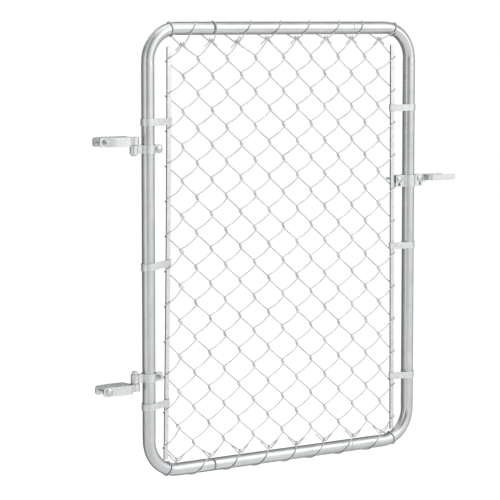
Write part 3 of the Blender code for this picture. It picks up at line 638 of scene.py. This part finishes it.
class GATE_OT_tubes(bpy.types.Operator):
    """Build the two bent stiles and the rails between them"""
    bl_idname = "gate.tubes"
    bl_label = "Bent Tube Frame"

    def execute(self, context):
        values = context.scene.gate_tubes
        for name, x, inward, leg in (("hinge_stile", hinge_x, 1, values.hinge_leg),
                                     ("latch_stile", latch_x, -1, values.latch_leg)):
            points, radii = stile_line(values, x, inward, leg)
            tube = round_sweep(name + "_tube", [(points, radii)], values.sides)
            place_piece(tube, "gate_leaf", name, "tube")
        left = hinge_x + values.hinge_leg
        right = latch_x - values.latch_leg
        # From the joint: along, and how much slimmer the tube is there, mm
        stations = [(left + a * MM, tube_radius - slimmer * MM) for a, slimmer in
                    ((-30.0, 4.0), (4.0, 4.0), (4.0, 0.6), (4.7, 0.0), (6.0, 0.0))]
        stations += [(right + a * MM, tube_radius - slimmer * MM) for a, slimmer in
                     ((-2.0, 0.0), (-0.8, 0.0), (-0.3, 0.5), (-0.3, 4.0), (30.0, 4.0))]
        for name, z in (("top_rail", frame_high - tube_radius), ("bottom_rail", frame_low + tube_radius)):
            points = [Vector((x, 0, z)) for x, r in stations]
            tube = round_sweep(name + "_tube", [(points, [r for x, r in stations])], values.sides)
            place_piece(tube, "gate_leaf", name, "tube")
        return {"FINISHED"}


def stile_line(values, x, inward, leg):
    """The middle line of a bent stile, from the top rail's joint to the bottom rail's, and its radii."""
    bend = values.corner_radius - tube_radius
    slim = tube_radius - values.bend_squeeze
    # One half of it: inward from the stile's axis, down or up from the rail's axis, radius
    half = [(leg, 0.0, tube_radius - 0.5 * MM)]
    half += [(reach, 0.0, tube_radius) for reach in
             (leg - 0.7 * MM, leg - 2 * MM, bend + 9 * MM, bend + 7 * MM)]
    for i in range(BEND_STEPS + 1):
        angle = math.pi / 2 * i / BEND_STEPS
        half.append((bend * (1 - math.sin(angle)), bend * (1 - math.cos(angle)), slim))
    half += [(0.0, bend + 3 * MM, slim), (0.0, bend + 7 * MM, tube_radius), (0.0, bend + 9 * MM, tube_radius)]
    top, bottom = frame_high - tube_radius, frame_low + tube_radius
    points = [Vector((x + inward * a, 0, top - b)) for a, b, r in half]
    points += [Vector((x + inward * a, 0, bottom + b)) for a, b, r in half[::-1]]
    radii = [r for a, b, r in half]
    return points, radii + radii[::-1]


def bar_x(side, z):
    """The leaning axis of a tension bar; side is 0 for the hinge side and 1 for the latch side."""
    share = (z - bar_low) / (bar_high - bar_low)
    foot, lean, bow = BARS[side]
    away = (foot + lean * share + bow * share ** 2) * MM
    return latch_x - away if side else hinge_x + away


def joint(values, column, row):
    """Where a joint hangs: the slack panel bellies up in the middle and spreads at its foot."""
    across = 2 * column / values.pickets - 1
    up = 2 * row / (values.rows - 1) - 1
    belly = BELLY[0] + BELLY[1] * across + BELLY[2] * across ** 2 + BELLY[3] * up ** 2
    z = frame_low + values.lowest_loop + row * values.pitch + belly * MM
    left = bar_x(0, z)
    x = left + (bar_x(1, z) - left) * column / values.pickets
    if 0 < column < values.pickets:
        x += (SPREAD[0] * across + SPREAD[1] * across * up + SPREAD[2]) * MM
    return x, z


def turn_knots(values, column, row, side, chance):
    """Where a picket turns: up the front to the right, and back up behind to the left."""
    x, z = joint(values, column, row)
    if column in (0, values.pickets):
        out = (values.bar_width + values.wire) / 2 + 0.5 * MM
        face = -side * ((values.bar_thickness + values.wire) / 2 + SEAT)
        # Before the bar's edge: outward, share of the depth, and height below the turn's middle
        half = [(-9.0 * MM, 1.0, 12.0 * MM), (1.5 * MM, 1.0, 5.8 * MM), (out * 0.93, 0.72, 2.6 * MM)]
        return ([(x + side * a, face * b, z - c) for a, b, c in half] + [(x + side * out, 0, z)]
                + [(x + side * a, -face * b, z + c) for a, b, c in half[::-1]])
    loose = chance.uniform(0.8, 1.2) * MM
    if column in (1, values.pickets - 1) and row < OUTER_SLACK_ROWS:
        loose *= OUTER_SLACK
    turn = TURN if side > 0 else [(-a, b, -c) for a, b, c in TURN[::-1]]
    return [(x + a * loose, b * values.depth, z + (c + 1.7) * MM) for a, b, c in turn]


def knuckle_knots(values, x, z, side, up):
    """A picket's end: over its neighbour, hooked tight and turned back beside its leg."""
    face = -side * up * values.depth
    return [(x + side * a * MM, b * face, z + up * c * MM) for a, b, c in KNUCKLE]


def picket_line(values, index, chance):
    """One woven wire, from its bottom knuckle to its top knuckle."""
    odd = index + 1 if index % 2 == 0 else index
    even = index if index % 2 == 0 else index + 1
    side = 1 if odd > even else -1
    foot, head = knuckles(values, odd)
    knots = knuckle_knots(values, *foot, side, -1)[::-1]
    for row in range(values.rows):
        knots += bowed(knots[-1], turn_knots(values, even, row, -side, chance), chance)
        if row < values.rows - 1:
            knots += bowed(knots[-1], turn_knots(values, odd, row + 0.5, side, chance), chance)
    knots += bowed(knots[-1], knuckle_knots(values, *head, side, 1), chance)
    return knots


def knuckles(values, column):
    """Where a column's bottom and top knuckles sit."""
    along, rise = BOTTOM_KNUCKLES[column // 2]
    foot = (hinge_x + along * MM, frame_low + values.bottom_knuckle + rise * MM)
    along, rise = TOP_KNUCKLES[column // 2]
    head = (hinge_x + along * MM, frame_low + values.top_knuckle + rise * MM)
    return foot, head


def bowed(last, nexts, chance):
    """The knots of the next turn, after two that bow the leg: front legs sag to the lower right."""
    a, b = Vector(last), Vector(nexts[0])
    sag = chance.uniform(-2.9, -1.7) * MM if b.x > a.x else chance.uniform(-0.8, 0.8) * MM
    across = Vector((-(b - a).z, 0, (b - a).x)).normalized()
    return [tuple(a.lerp(b, 0.3) + across * sag), tuple(a.lerp(b, 0.7) + across * sag)] + nexts


class GATE_OT_fabric(bpy.types.Operator):
    """Weave the chain link fabric from its pickets"""
    bl_idname = "gate.fabric"
    bl_label = "Woven Fabric"

    def execute(self, context):
        values = context.scene.gate_fabric
        chance = random.Random(11)
        strands = []
        for index in range(values.pickets):
            knots = picket_line(values, index, chance)
            strands.append((curve_through(knots, 3), values.wire / 2))
        fabric = round_sweep("woven_wire_fabric", strands, 8)
        place_piece(fabric, "gate_leaf", "chain_link_fabric", "wire")
        return {"FINISHED"}


class GATE_OT_bars(bpy.types.Operator):
    """Build the tension bars and the straps that hold them to the stiles"""
    bl_idname = "gate.bars"
    bl_label = "Tension Bars and Straps"

    def execute(self, context):
        values = context.scene.gate_fabric
        half, deep = values.bar_width / 2, values.bar_thickness / 2
        for side, node in ((0, "hinge_side_tension_bar"), (1, "latch_side_tension_bar")):
            bm = bmesh.new()
            mark = shear_mark(bm)
            rows = 24
            rings = []
            for i in range(rows + 1):
                z = bar_low + (bar_high - bar_low) * i / rows
                x = bar_x(side, z)
                rings.append([bm.verts.new((x + a, b, z)) for a, b in
                              ((-half, -deep), (half, -deep), (half, deep), (-half, deep))])
            # Painted shade on the bar's two narrow sides and its ends, through the zinc's face mark
            for low, high in zip(rings, rings[1:]):
                for k in range(4):
                    j = (k + 1) % 4
                    bm.faces.new((low[k], low[j], high[j], high[k]))[mark] = float(k % 2)
            bm.faces.new(rings[0])[mark] = 1.0
            bm.faces.new(rings[-1])[mark] = 1.0
            bar = soften(from_bmesh(node + "_flat", bm), 1.0 * MM, segments=3)
            place_piece(bar, "gate_leaf", node, "strap")
        self.straps(values)
        return {"FINISHED"}

    def straps(self, values):
        """A strap at each packed clip; two on the hinge side climb a little towards the bar."""
        rises = {"hinge_side_clip": (0.0, 6.0, 4.5), "latch_side_clip": (0.0, 0.0, 0.0)}
        for side, (prefix, climbs) in enumerate(rises.items()):
            for i, climb in enumerate(climbs):
                node = "%s_%d" % (prefix, i + 1)
                level = centre(node)[2] - frame_low - climb * MM / 2
                strap = tension_strap(node + "_strap", side, level, climb * MM, values)
                place_piece(strap, "gate_leaf", node, "strap")


def tension_strap(name, side, level, rise, values):
    """A strap round the stile's outer side and front, hooked over the bar's edge."""
    stile = (hinge_x, latch_x)[side]
    inward = (1, -1)[side]
    thick = 2.0 * MM
    tall = 19.0 * MM
    reach = abs(bar_x(side, frame_low + level + rise) - stile)
    ring = tube_radius + SEAT + thick / 2
    face = values.bar_thickness / 2 + SEAT + thick / 2
    edge = reach + values.bar_width / 2 + SEAT + thick / 2
    curl = 1.6 * MM
    lean = math.degrees(math.asin((ring - face) / math.hypot(edge, ring - face)))
    path = arc((0, 0), ring, 60, 270 + lean, 36)
    path += arc((edge - curl, -face + curl), curl, -75, 0, 4)
    path += arc((edge - curl, face - curl), curl, 0, 90, 4)
    path.append((edge - 9.0 * MM, face))
    bm = bmesh.new()
    prism(bm, strip_outline(path, thick), -tall / 2, tall / 2)
    for v in bm.verts:
        v.co.z += rise * v.co.x / reach
        v.co.x *= inward
    bmesh.ops.translate(bm, verts=bm.verts, vec=(stile, 0, frame_low + level))
    return soften(from_bmesh(name, bm), 0.5 * MM)


def rail_ring(x, angle, up, radius, bend):
    """A point at an angle round the rail or its bend; 0 is the side towards the fabric."""
    axis = frame_high - tube_radius if up > 0 else frame_low + tube_radius
    tilt = 0.0
    for stile, inward in ((hinge_x, 1), (latch_x, -1)):
        past = (stile + inward * bend - x) * inward
        if past > 0:
            tilt = -inward * math.asin(min(past / bend, 1))
    drop = bend * (1 - math.cos(tilt))
    out = -math.cos(angle) * radius
    return Vector((x + out * math.sin(tilt), -up * math.sin(angle) * radius,
                   axis + up * (out * math.cos(tilt) - drop)))


def lacing_line(values, tubes, up, lean, chance):
    """One wire wound round a rail once for each knuckle, with a full coil at each end."""
    axis = frame_high - tube_radius if up > 0 else frame_low + tube_radius
    level = frame_low + (values.top_knuckle if up > 0 else values.bottom_knuckle)
    radius = tube_radius + values.wire / 2 + 0.25 * MM
    bend = tubes.corner_radius - tube_radius
    tangent = math.acos(radius / (abs(axis - level) + 5.5 * MM))
    sweep = 2 * (math.pi - tangent)
    start, end = hinge_x + FIRST_COIL[up] * MM, latch_x - LAST_COIL * MM
    line = []
    for i in range(COIL_STEPS + 1):
        share = i / COIL_STEPS
        line.append(rail_ring(start + COIL_PITCH * MM * (share - 1),
                              tangent + sweep + 2 * math.pi * (share - 1), up, radius, bend))
    for knot in range(1, values.pickets, 2):
        x, knuckle = knuckles(values, knot)[up > 0]
        loop = [(a, up * b, -up * c) for a, b, c in LACING_LOOP]
        if up > 0 and knot == OPEN_KNUCKLE:
            loop[3:3] = [(a, -b, c) for a, b, c in OPEN_LOOP]
        line += [Vector((x + a * MM, b * MM, knuckle + c * MM)) for a, b, c in loop]
        if knot >= values.pickets - 1:
            break
        shift = chance.uniform(-WRAP_WANDER, WRAP_WANDER) * MM
        steep = up > 0 and knot == STEEP_WRAP[0]
        first, last = [v * MM for v in STEEP_WRAP[1:3]] if steep else lean
        for i in range(WRAP_STEPS + 1):
            share = i / WRAP_STEPS
            run = first + (last - first) * share + shift * math.sin(math.pi * share)
            if steep and share > 0.5:
                run += (STEEP_WRAP[3] * MM - last) * (2 * share - 1)
            line.append(rail_ring(x + run, tangent + sweep * share, up, radius, bend))
    for i in range(COIL_STEPS + 1):
        share = i / COIL_STEPS
        line.append(rail_ring(end + COIL_PITCH * MM * share, tangent + 2 * math.pi * share, up, radius, bend))
    return line


class GATE_OT_lacing(bpy.types.Operator):
    """Wind the lacing wires round the rails and through the knuckles"""
    bl_idname = "gate.lacing"
    bl_label = "Lacing Wires"

    def execute(self, context):
        values = context.scene.gate_fabric
        tubes = context.scene.gate_tubes
        chance = random.Random(5)
        for node, up, lean in (("top_lacing_wire", 1, (19.0 * MM, 65.0 * MM)),
                               ("bottom_lacing_wire", -1, (8.0 * MM, 81.0 * MM))):
            knots = lacing_line(values, tubes, up, lean, chance)
            strand = (curve_through(knots, 2), values.wire / 2)
            wire = round_sweep(node + "_wound", [strand], 8, (1, 0, 0))
            place_piece(wire, "gate_leaf", node, "wire")
        return {"FINISHED"}


def centre(node):
    """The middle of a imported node's box."""
    low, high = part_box(node)
    return [(a + b) / 2 for a, b in zip(low, high)]


def carriage_bolt(name, node, head_y, end_y, values, along=0.0):
    """A domed head on a shank whose last 25 mm is rolled thread of 1.4 mm pitch."""
    x, _, z = centre(node)
    facing = 1 if end_y > head_y else -1
    length = abs(end_y - head_y)
    radius = values.bolt / 2
    profile = [(0, -HEAD_HEIGHT)]
    profile += [(HEAD_RADIUS * math.sin(a), -HEAD_HEIGHT * math.cos(a))
                for a in [math.pi / 2 * k / 7 for k in range(1, 8)]]
    profile += [(HEAD_RADIUS - 0.5 * MM, 0.4 * MM), (radius, 0.4 * MM)]
    height = max(length - THREAD_LENGTH, 5 * MM)
    while height + THREAD_PITCH < length - 0.8 * MM:
        profile += [(radius, height), (radius - THREAD_DEPTH, height + THREAD_PITCH / 2)]
        height += THREAD_PITCH
    profile += [(radius, length - 0.9 * MM), (radius - 0.9 * MM, length), (0, length)]
    bm = bmesh.new()
    turned(bm, profile, 28)
    along_y(bm, x + along, head_y, z, facing)
    return from_bmesh(name, bm, 60)


def hex_nut(name, node, facing, values, shift, along=0.0):
    """A chamfered hex nut, its corners cut by a cone on both faces."""
    low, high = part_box(node)
    x, y, z = centre(node)
    tall = high[1] - low[1]
    flat = 6.5 * MM
    bore = values.bolt / 2 - 0.4 * MM
    sides = 48
    cone = flat * 0.98
    half_side = math.pi / 6
    rings = [[], [], [], [], [], []]
    for i in range(sides):
        turn = 2 * math.pi * i / sides
        reach = flat / math.cos((turn + half_side) % (2 * half_side) - half_side)
        rise = max(0.0, reach - cone) * 0.58
        for n, (r, h) in enumerate(((bore, 0), (min(reach, cone), 0), (reach, rise), (reach, tall - rise),
                                    (min(reach, cone), tall), (bore, tall))):
            rings[n].append((r * math.cos(turn + half_side), r * math.sin(turn + half_side), h - tall / 2))
    bm = bmesh.new()
    loops = [[bm.verts.new(p) for p in ring] for ring in rings]
    for a, b in zip(loops, loops[1:] + loops[:1]):
        for i in range(sides):
            j = (i + 1) % sides
            bm.faces.new((a[i], a[j], b[j], b[i]))
    bmesh.ops.remove_doubles(bm, verts=bm.verts[:], dist=1e-6)
    along_y(bm, x + along, y + shift, z, facing)
    return from_bmesh(name, bm, 25)


def squeezed(prefix, x, y):
    """How far a point of a post strap's arm has moved along Y, the bend easing in."""
    front, back = SQUEEZE[prefix]
    share = min(max((-BEND_START - x) / BEND_LENGTH, 0.0), 1.0)
    share = share * share * (3 - 2 * share)
    return share * (front if y < 0 else -back) * MM


class GATE_OT_fasteners(bpy.types.Operator):
    """Build the carriage bolts and their hex nuts"""
    bl_idname = "gate.fasteners"
    bl_label = "Bolts and Nuts"

    def execute(self, context):
        values = context.scene.gate_fittings
        for prefix, body in (("lower_post", "post_side"), ("upper_post", "post_side"),
                             ("lower_collar", "gate_leaf"), ("upper_collar", "gate_leaf"),
                             ("latch_clamp", "gate_leaf"), ("latch_pivot", "gate_leaf")):
            low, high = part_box(prefix + "_bolt")
            nut = centre(prefix + "_nut")[1]
            towards = 1 if nut > 0 else -1
            head_y, end_y = (low[1], high[1]) if towards > 0 else (high[1], low[1])
            head_y += towards * HEAD_HEIGHT
            shift, along = 0.0, 0.0
            if body == "post_side":
                half = prefix.split("_")[0]
                along = -LONGER[half] * MM
                x = centre(prefix + "_bolt")[0] + along
                head_y += squeezed(half, x, head_y)
                shift = squeezed(half, x, end_y)
                end_y += shift
            bolt = carriage_bolt(prefix + "_carriage_bolt", prefix + "_bolt", head_y, end_y,
                                 values, along)
            place_piece(bolt, body, prefix + "_bolt", "bolt")
            made = hex_nut(prefix + "_hex_nut", prefix + "_nut", towards, values, shift, along)
            place_piece(made, body, prefix + "_nut", "bolt")
        return {"FINISHED"}


class GATE_OT_hinges(bpy.types.Operator):
    """Build the post straps, the pins and the collars that turn on them"""
    bl_idname = "gate.hinges"
    bl_label = "Hinges"

    def execute(self, context):
        values = context.scene.gate_fittings
        for prefix, up in (("lower", 1), ("upper", -1)):
            z = centre(prefix + "_post_strap")[2]
            strap = post_strap(prefix + "_bent_strap", prefix, z, values)
            place_piece(strap, "post_side", prefix + "_post_strap", "strap")
            pin = hinge_pin(prefix + "_hinge_pin", prefix, z, up)
            place_piece(pin, "post_side", prefix + "_pintle", "strap")
            collar = stile_collar(prefix + "_wrapped_collar", prefix, values)
            place_piece(collar, "gate_leaf", prefix + "_gate_collar", "strap")
        return {"FINISHED"}


def post_strap(name, prefix, z, values):
    """A strip bent square round the post, its arms closed in a little at their ends."""
    thick = values.strap
    face = (values.post_gap + thick) / 2
    arm = values.arm + LONGER[prefix] * MM
    curl = 6.0 * MM
    reaches = [-arm] + [-arm + 10 * MM + (arm - 46 * MM) * i / 14 for i in range(15)]
    path = [(x, -face) for x in reaches]
    path += arc((thick / 2 - curl, -face + curl), curl, -90, 0, 10)
    path += arc((thick / 2 - curl, face - curl), curl, 0, 90, 10)
    path += [(x, face) for x in reaches[::-1]]
    half = values.strap_height / 2
    bm = bmesh.new()
    prism(bm, strip_outline(path, thick), -half, half)
    round_ends(bm, [(-arm, -half), (-arm, half)], 8.0 * MM)
    bmesh.ops.translate(bm, verts=bm.verts, vec=(0, 0, z))
    strap = from_bmesh(name, bm)
    bolt = centre(prefix + "_post_bolt")
    drill(strap, bolt[0] - LONGER[prefix] * MM, bolt[2], bolt_hole(values), 60 * MM)
    for v in strap.data.vertices:
        v.co.y += squeezed(prefix, v.co.x, v.co.y)
    return soften(strap, 0.6 * MM)


def hinge_pin(name, prefix, z, up):
    """A forged boss on its neck, with the pin standing on it."""
    low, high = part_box(prefix + "_pintle")
    boss, neck, tall = 14.0 * MM, 11.0 * MM, 10.2 * MM
    start = low[0]
    spread = math.degrees(math.asin(neck / boss))
    outline = [(start, -neck)] + arc((pintle_x, 0), boss, spread - 180, 180 - spread, 40) + [(start, neck)]
    bm = bmesh.new()
    prism(bm, outline, z - tall, z + tall, "none")
    made = from_bmesh(name, bm)
    tip = high[2] if up > 0 else low[2]
    length = abs(tip - z) - (4.5 * MM if up < 0 else 0.0)
    bm = bmesh.new()
    profile = [(0, 0), (PIN_RADIUS, 0)]
    profile += [(PIN_RADIUS - a * MM, length - b * MM) for a, b in
                ((0.0, 3.0), (0.3, 2.2), (0.9, 1.5), (2.0, 0.9), (4.0, 0.3), (6.0, 0.05))]
    profile.append((0, length))
    turned(bm, profile, 40)
    bm.transform(Matrix.Translation((pintle_x, 0, z)) @ Matrix.Diagonal((1, 1, up, 1)))
    if up < 0:
        bmesh.ops.reverse_faces(bm, faces=bm.faces[:])
    apply_boolean(made, from_bmesh("pin", bm), "UNION")
    return soften(made, 0.9 * MM)


def stile_collar(name, prefix, values):
    """A strip wrapped round the stile and the pin, its two ends bolted together."""
    low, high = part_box(prefix + "_gate_collar")
    thick = values.collar
    band = tube_radius + SEAT + thick / 2
    eye = PIN_RADIUS + EYE_SLACK + thick / 2
    half = 1.5 * MM + thick / 2
    flange = 43.5 * MM
    offset = hinge_x - pintle_x
    band_gap = math.degrees(math.asin(half / band))
    eye_gap = math.degrees(math.asin(half / eye))
    front = [(flange, -half)] + arc((0, 0), band, -band_gap, band_gap - 180, 48)
    front += arc((-offset, 0), eye, -eye_gap, -180, 22)
    path = front + [(x, -y) for x, y in front[-2::-1]]
    bm = bmesh.new()
    prism(bm, strip_outline(path, thick), low[2], high[2])
    bmesh.ops.translate(bm, verts=bm.verts, vec=(hinge_x, 0, 0))
    # Twice, since one pass leaves the edges at the flanges' feet
    for _ in range(2):
        round_ends(bm, [(hinge_x + flange, low[2]), (hinge_x + flange, high[2])], 5.0 * MM)
    made = from_bmesh(name, bm)
    bolt = centre(prefix + "_collar_bolt")
    drill(made, bolt[0], bolt[2], bolt_hole(values), 9 * MM)
    return soften(made, 0.5 * MM)


class GATE_OT_latch(bpy.types.Operator):
    """Build the latch's two clamp plates and its lifting fork"""
    bl_idname = "gate.latch"
    bl_label = "Fork Latch"

    def execute(self, context):
        values = context.scene.gate_fittings
        for name, facing in (("latch_front_plate", -1), ("latch_back_plate", 1)):
            plate = clamp_plate(name + "_pressed", name, facing, values)
            place_piece(plate, "gate_leaf", name, "strap")
        fork = lifting_fork("lifting_fork", values)
        place_piece(fork, "fork", "latch_fork", "strap")
        return {"FINISHED"}


def clamp_plate(name, node, facing, values):
    """Half of the latch's clamp: a strip bent round the stile, with a flange on either side."""
    low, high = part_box(node)
    thick = 3.0 * MM
    half = (high[0] - low[0]) / 2
    band = tube_radius + SEAT + thick / 2
    face = 4.0 * MM + thick / 2
    gap = math.degrees(math.asin(face / band))
    path = [(-half, facing * face)]
    path += [(x, facing * y) for x, y in arc((0, 0), band, 180 - gap, gap, 40)]
    path.append((half, facing * face))
    bm = bmesh.new()
    foot = low[2] + 4.2 * MM
    prism(bm, strip_outline(path, thick), foot, high[2])
    bmesh.ops.translate(bm, verts=bm.verts, vec=(latch_x, 0, 0))
    corners = [(latch_x + side * half, z) for side in (-1, 1) for z in (foot, high[2])]
    round_ends(bm, corners, 6.0 * MM)
    plate = from_bmesh(name, bm)
    for bolt in (centre("latch_clamp_bolt"), centre("latch_pivot_bolt")):
        drill(plate, bolt[0], bolt[2], bolt_hole(values), 12 * MM)
        drill(plate, bolt[0], foot + 6.4 * MM, 4.3 * MM, 12 * MM)
    return soften(plate, 0.5 * MM)


def lifting_fork(name, values):
    """A bar bent into two prongs, with a tongue on the pivot bolt."""
    thick = 5.0 * MM
    face = (values.fork_gap + thick) / 2
    web = latch_x + 60.0 * MM + thick / 2
    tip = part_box("latch_fork")[1][0]
    curl = 13.0 * MM
    pivot = centre("latch_pivot_bolt")
    floor, ceiling = pivot[2] - 5.5 * MM, pivot[2] + 9.5 * MM
    path = [(tip, -face)]
    path += arc((web + curl, -face + curl), curl, -90, -180, 10)
    path += arc((web + curl, face - curl), curl, 180, 90, 10)
    path.append((tip, face))
    bm = bmesh.new()
    prism(bm, strip_outline(path, thick), floor, ceiling)
    round_ends(bm, [(tip, floor), (tip, ceiling)], 5.0 * MM)
    fork = from_bmesh(name, bm)
    bm = bmesh.new()
    stop = latch_x + tube_radius + SEAT
    left, right, foot = pivot[0] - 9 * MM, pivot[0] + 10.5 * MM, -19.5 * MM
    ring = 10.0 * MM
    outline = [(web, 0.6 * ring)] + arc((pivot[0], 0), ring, 60, 180, 16)
    outline += [(stop, -0.45 * ring), (stop, -ring), (left, -ring), (left, foot), (right, foot),
                (right, -ring), (web, -ring)]
    prism(bm, outline, -3.0 * MM, 3.0 * MM, "plate")
    bm.transform(Matrix.Translation((0, 0, pivot[2])) @ Matrix.Rotation(math.radians(90), 4, "X"))
    apply_boolean(fork, from_bmesh("tongue", bm), "UNION")
    drill(fork, pivot[0], pivot[2], bolt_hole(values), 12 * MM)
    return soften(fork, 0.8 * MM)


class GATE_OT_stage(bpy.types.Operator):
    """Set the camera, the soft lamps, the pale world and the floor"""
    bl_idname = "gate.stage"
    bl_label = "Studio Stage"

    def execute(self, context):
        values = context.scene.gate_stage
        scene = context.scene
        scene.view_settings.view_transform = "Standard"
        camera(values, scene)
        floor(values)
        softboxes()
        studio_world(scene)
        return {"FINISHED"}


def stand(name, data, aim, azimuth, elevation, distance):
    """Stand a camera or a lamp round the gate, facing its aim."""
    back = Vector((math.sin(azimuth) * math.cos(elevation), -math.cos(azimuth) * math.cos(elevation),
                   math.sin(elevation)))
    thing = bpy.data.objects.new(name, data)
    thing.location = aim + back * distance
    thing.rotation_euler = back.to_track_quat("Z", "Y").to_euler()
    bpy.context.scene.collection.objects.link(thing)
    return thing


def camera(values, scene):
    """A long lens at the photograph's angle, a little above the gate's middle."""
    data = bpy.data.cameras.new("photo_camera")
    data.lens = 155.4
    data.sensor_width = 36.0
    data.shift_y = -0.1
    scene.camera = stand("photo_camera", data, Vector((0.3948, 0.0, 0.481)), values.azimuth,
                         values.elevation, values.distance)


def room_tone(tree, place, tones):
    """Brightness of the room by compass degrees round the gate, 0 in front and 90 to the right."""
    split = add(tree, "ShaderNodeSeparateXYZ", {"Vector": place})
    front = add(tree, "ShaderNodeMath", {0: split.outputs["Y"], 1: -1.0}, operation="MULTIPLY")
    turn = add(tree, "ShaderNodeMath", {0: split.outputs["X"], 1: front.outputs[0]}, operation="ARCTAN2")
    share = add(tree, "ShaderNodeMath", {0: turn.outputs[0], 1: 0.5 / math.pi, 2: 0.5},
                operation="MULTIPLY_ADD")
    room = add(tree, "ShaderNodeValToRGB", {"Fac": share.outputs[0]},
               stops=[(0.5 + degrees / 360, grey(tone)) for degrees, tone in tones])
    return room.outputs["Color"]


def background_seen(tree):
    """1 for what the eye, a gloss or a clear material sees of the background."""
    path = add(tree, "ShaderNodeLightPath")
    eye = add(tree, "ShaderNodeMath", {0: path.outputs["Is Camera Ray"],
                                       1: path.outputs["Is Transmission Ray"]}, operation="MAXIMUM")
    return eye.outputs[0], path.outputs["Is Glossy Ray"]


def floor(values):
    """A pale painted floor: matt, and white to the eye apart from the gate's shadow."""
    bm = bmesh.new()
    bmesh.ops.create_circle(bm, cap_ends=True, segments=96, radius=14.0)
    thing = from_bmesh("studio_floor", bm)
    thing.location = (0.4, 0, frame_low - values.floor_drop)
    material, tree, shader = new_material("matt_white_floor_paint")
    place = add(tree, "ShaderNodeTexCoord")
    mottle = add(tree, "ShaderNodeTexNoise", {"Vector": place.outputs["Object"], "Scale": per(333.3),
                                              "Detail": 3.0})
    paint = add(tree, "ShaderNodeValToRGB", {"Fac": mottle.outputs["Fac"]},
                stops=[(0.3, linear(shade(values.floor_tone, 0.99))), (0.7, linear(values.floor_tone))])
    tree.links.new(paint.outputs["Color"], shader.inputs["Base Color"])
    shader.inputs["Roughness"].default_value = 0.9
    shader.inputs["Specular IOR Level"].default_value = 0.1
    eye, gloss = background_seen(tree)
    glow = add(tree, "ShaderNodeMath", {0: eye, 1: 0.47}, operation="MULTIPLY")
    shader.inputs["Emission Color"].default_value = grey(1.0)
    tree.links.new(glow.outputs[0], shader.inputs["Emission Strength"])
    room = add(tree, "ShaderNodeEmission", {"Color": room_tone(tree, place.outputs["Object"], FLOOR_TONES)})
    seen = add(tree, "ShaderNodeMixShader", {0: gloss, 1: shader.outputs[0], 2: room.outputs[0]})
    tree.links.new(seen.outputs[0], tree.nodes["Material Output"].inputs["Surface"])
    thing.data.materials.append(material)


def softboxes():
    """Large soft lamps: right front, a tall strip at the left, one high behind and one overhead."""
    aim = Vector((0.5, 0, 0.35))
    for name, azimuth, elevation, away, width, height, power in (
            ("right_softbox", 34, 30, 3.2, 2.6, 2.4, 15),
            ("left_strip", -80, 6, 3.2, 1.1, 2.2, 3),
            ("back_softbox", -165, 40, 3.4, 2.2, 1.4, 8),
            ("overhead_softbox", 0, 82, 2.8, 2.4, 2.0, 6)):
        data = bpy.data.lights.new(name, "AREA")
        data.shape = "RECTANGLE"
        data.size = width
        data.size_y = height
        data.energy = power
        stand(name, data, aim, math.radians(azimuth), math.radians(elevation), away)


def studio_world(scene):
    """A white room to the eye; gloss sees its bright and grey walls, and an even ceiling."""
    world = bpy.data.worlds.new("studio_room")
    world.use_nodes = True
    tree = world.node_tree
    tree.nodes.clear()
    eye, gloss = background_seen(tree)
    place = add(tree, "ShaderNodeTexCoord")
    split = add(tree, "ShaderNodeSeparateXYZ", {"Vector": place.outputs["Generated"]})
    height = add(tree, "ShaderNodeMapRange", {"Value": split.outputs["Z"], "From Min": 0.7, "From Max": 1.0})
    walls = add(tree, "ShaderNodeMix", {"Factor": height.outputs["Result"], "B": grey(0.95),
                                        "A": room_tone(tree, place.outputs["Generated"], WALL_TONES)},
                data_type="RGBA")
    room = add(tree, "ShaderNodeMix", {"Factor": gloss, "A": grey(0.62), "B": walls.outputs[2]},
               data_type="RGBA")
    seen = add(tree, "ShaderNodeMix", {"Factor": eye, "A": room.outputs[2], "B": grey(1.0)},
               data_type="RGBA")
    light = add(tree, "ShaderNodeBackground", {"Color": seen.outputs[2], "Strength": 1.0})
    add(tree, "ShaderNodeOutputWorld", {"Surface": light.outputs["Background"]})
    scene.world = world


class GATE_PT_panel(bpy.types.Panel):
    """Sizes and steps of the gate"""
    bl_idname = "GATE_PT_panel"
    bl_label = "Chain Link Gate"
    bl_space_type = "VIEW_3D"
    bl_region_type = "UI"
    bl_category = "Gate"

    def draw(self, context):
        layout = self.layout
        for group in ("gate_tubes", "gate_fabric", "gate_fittings", "gate_stage"):
            box = layout.box()
            values = getattr(context.scene, group)
            for name in values.bl_rna.properties.keys():
                if name not in {"rna_type", "name"}:
                    box.prop(values, name)
        for step in STEPS:
            layout.operator(step)


STEPS = ("gate.tubes", "gate.fabric", "gate.bars", "gate.lacing", "gate.hinges", "gate.fasteners",
         "gate.latch", "gate.stage")
GROUPS = {"gate_tubes": TubeSettings, "gate_fabric": FabricSettings, "gate_fittings": FittingSettings,
          "gate_stage": StageSettings}
CLASSES = (TubeSettings, FabricSettings, FittingSettings, StageSettings, GATE_OT_tubes, GATE_OT_fabric,
           GATE_OT_bars, GATE_OT_lacing, GATE_OT_hinges, GATE_OT_fasteners, GATE_OT_latch, GATE_OT_stage,
           GATE_PT_panel)


def register():
    """Add the gate's settings, steps and panel to Blender."""
    for made in CLASSES:
        bpy.utils.register_class(made)
    for name, group in GROUPS.items():
        setattr(bpy.types.Scene, name, PointerProperty(type=group))


def unregister():
    """Take them out again."""
    for name in GROUPS:
        delattr(bpy.types.Scene, name)
    for made in reversed(CLASSES):
        bpy.utils.unregister_class(made)


def main():
    """Build the gate step by step."""
    register()
    for step in STEPS:
        group, name = step.split(".")
        getattr(getattr(bpy.ops, group), name)()


if __name__ == "__main__":
    main()
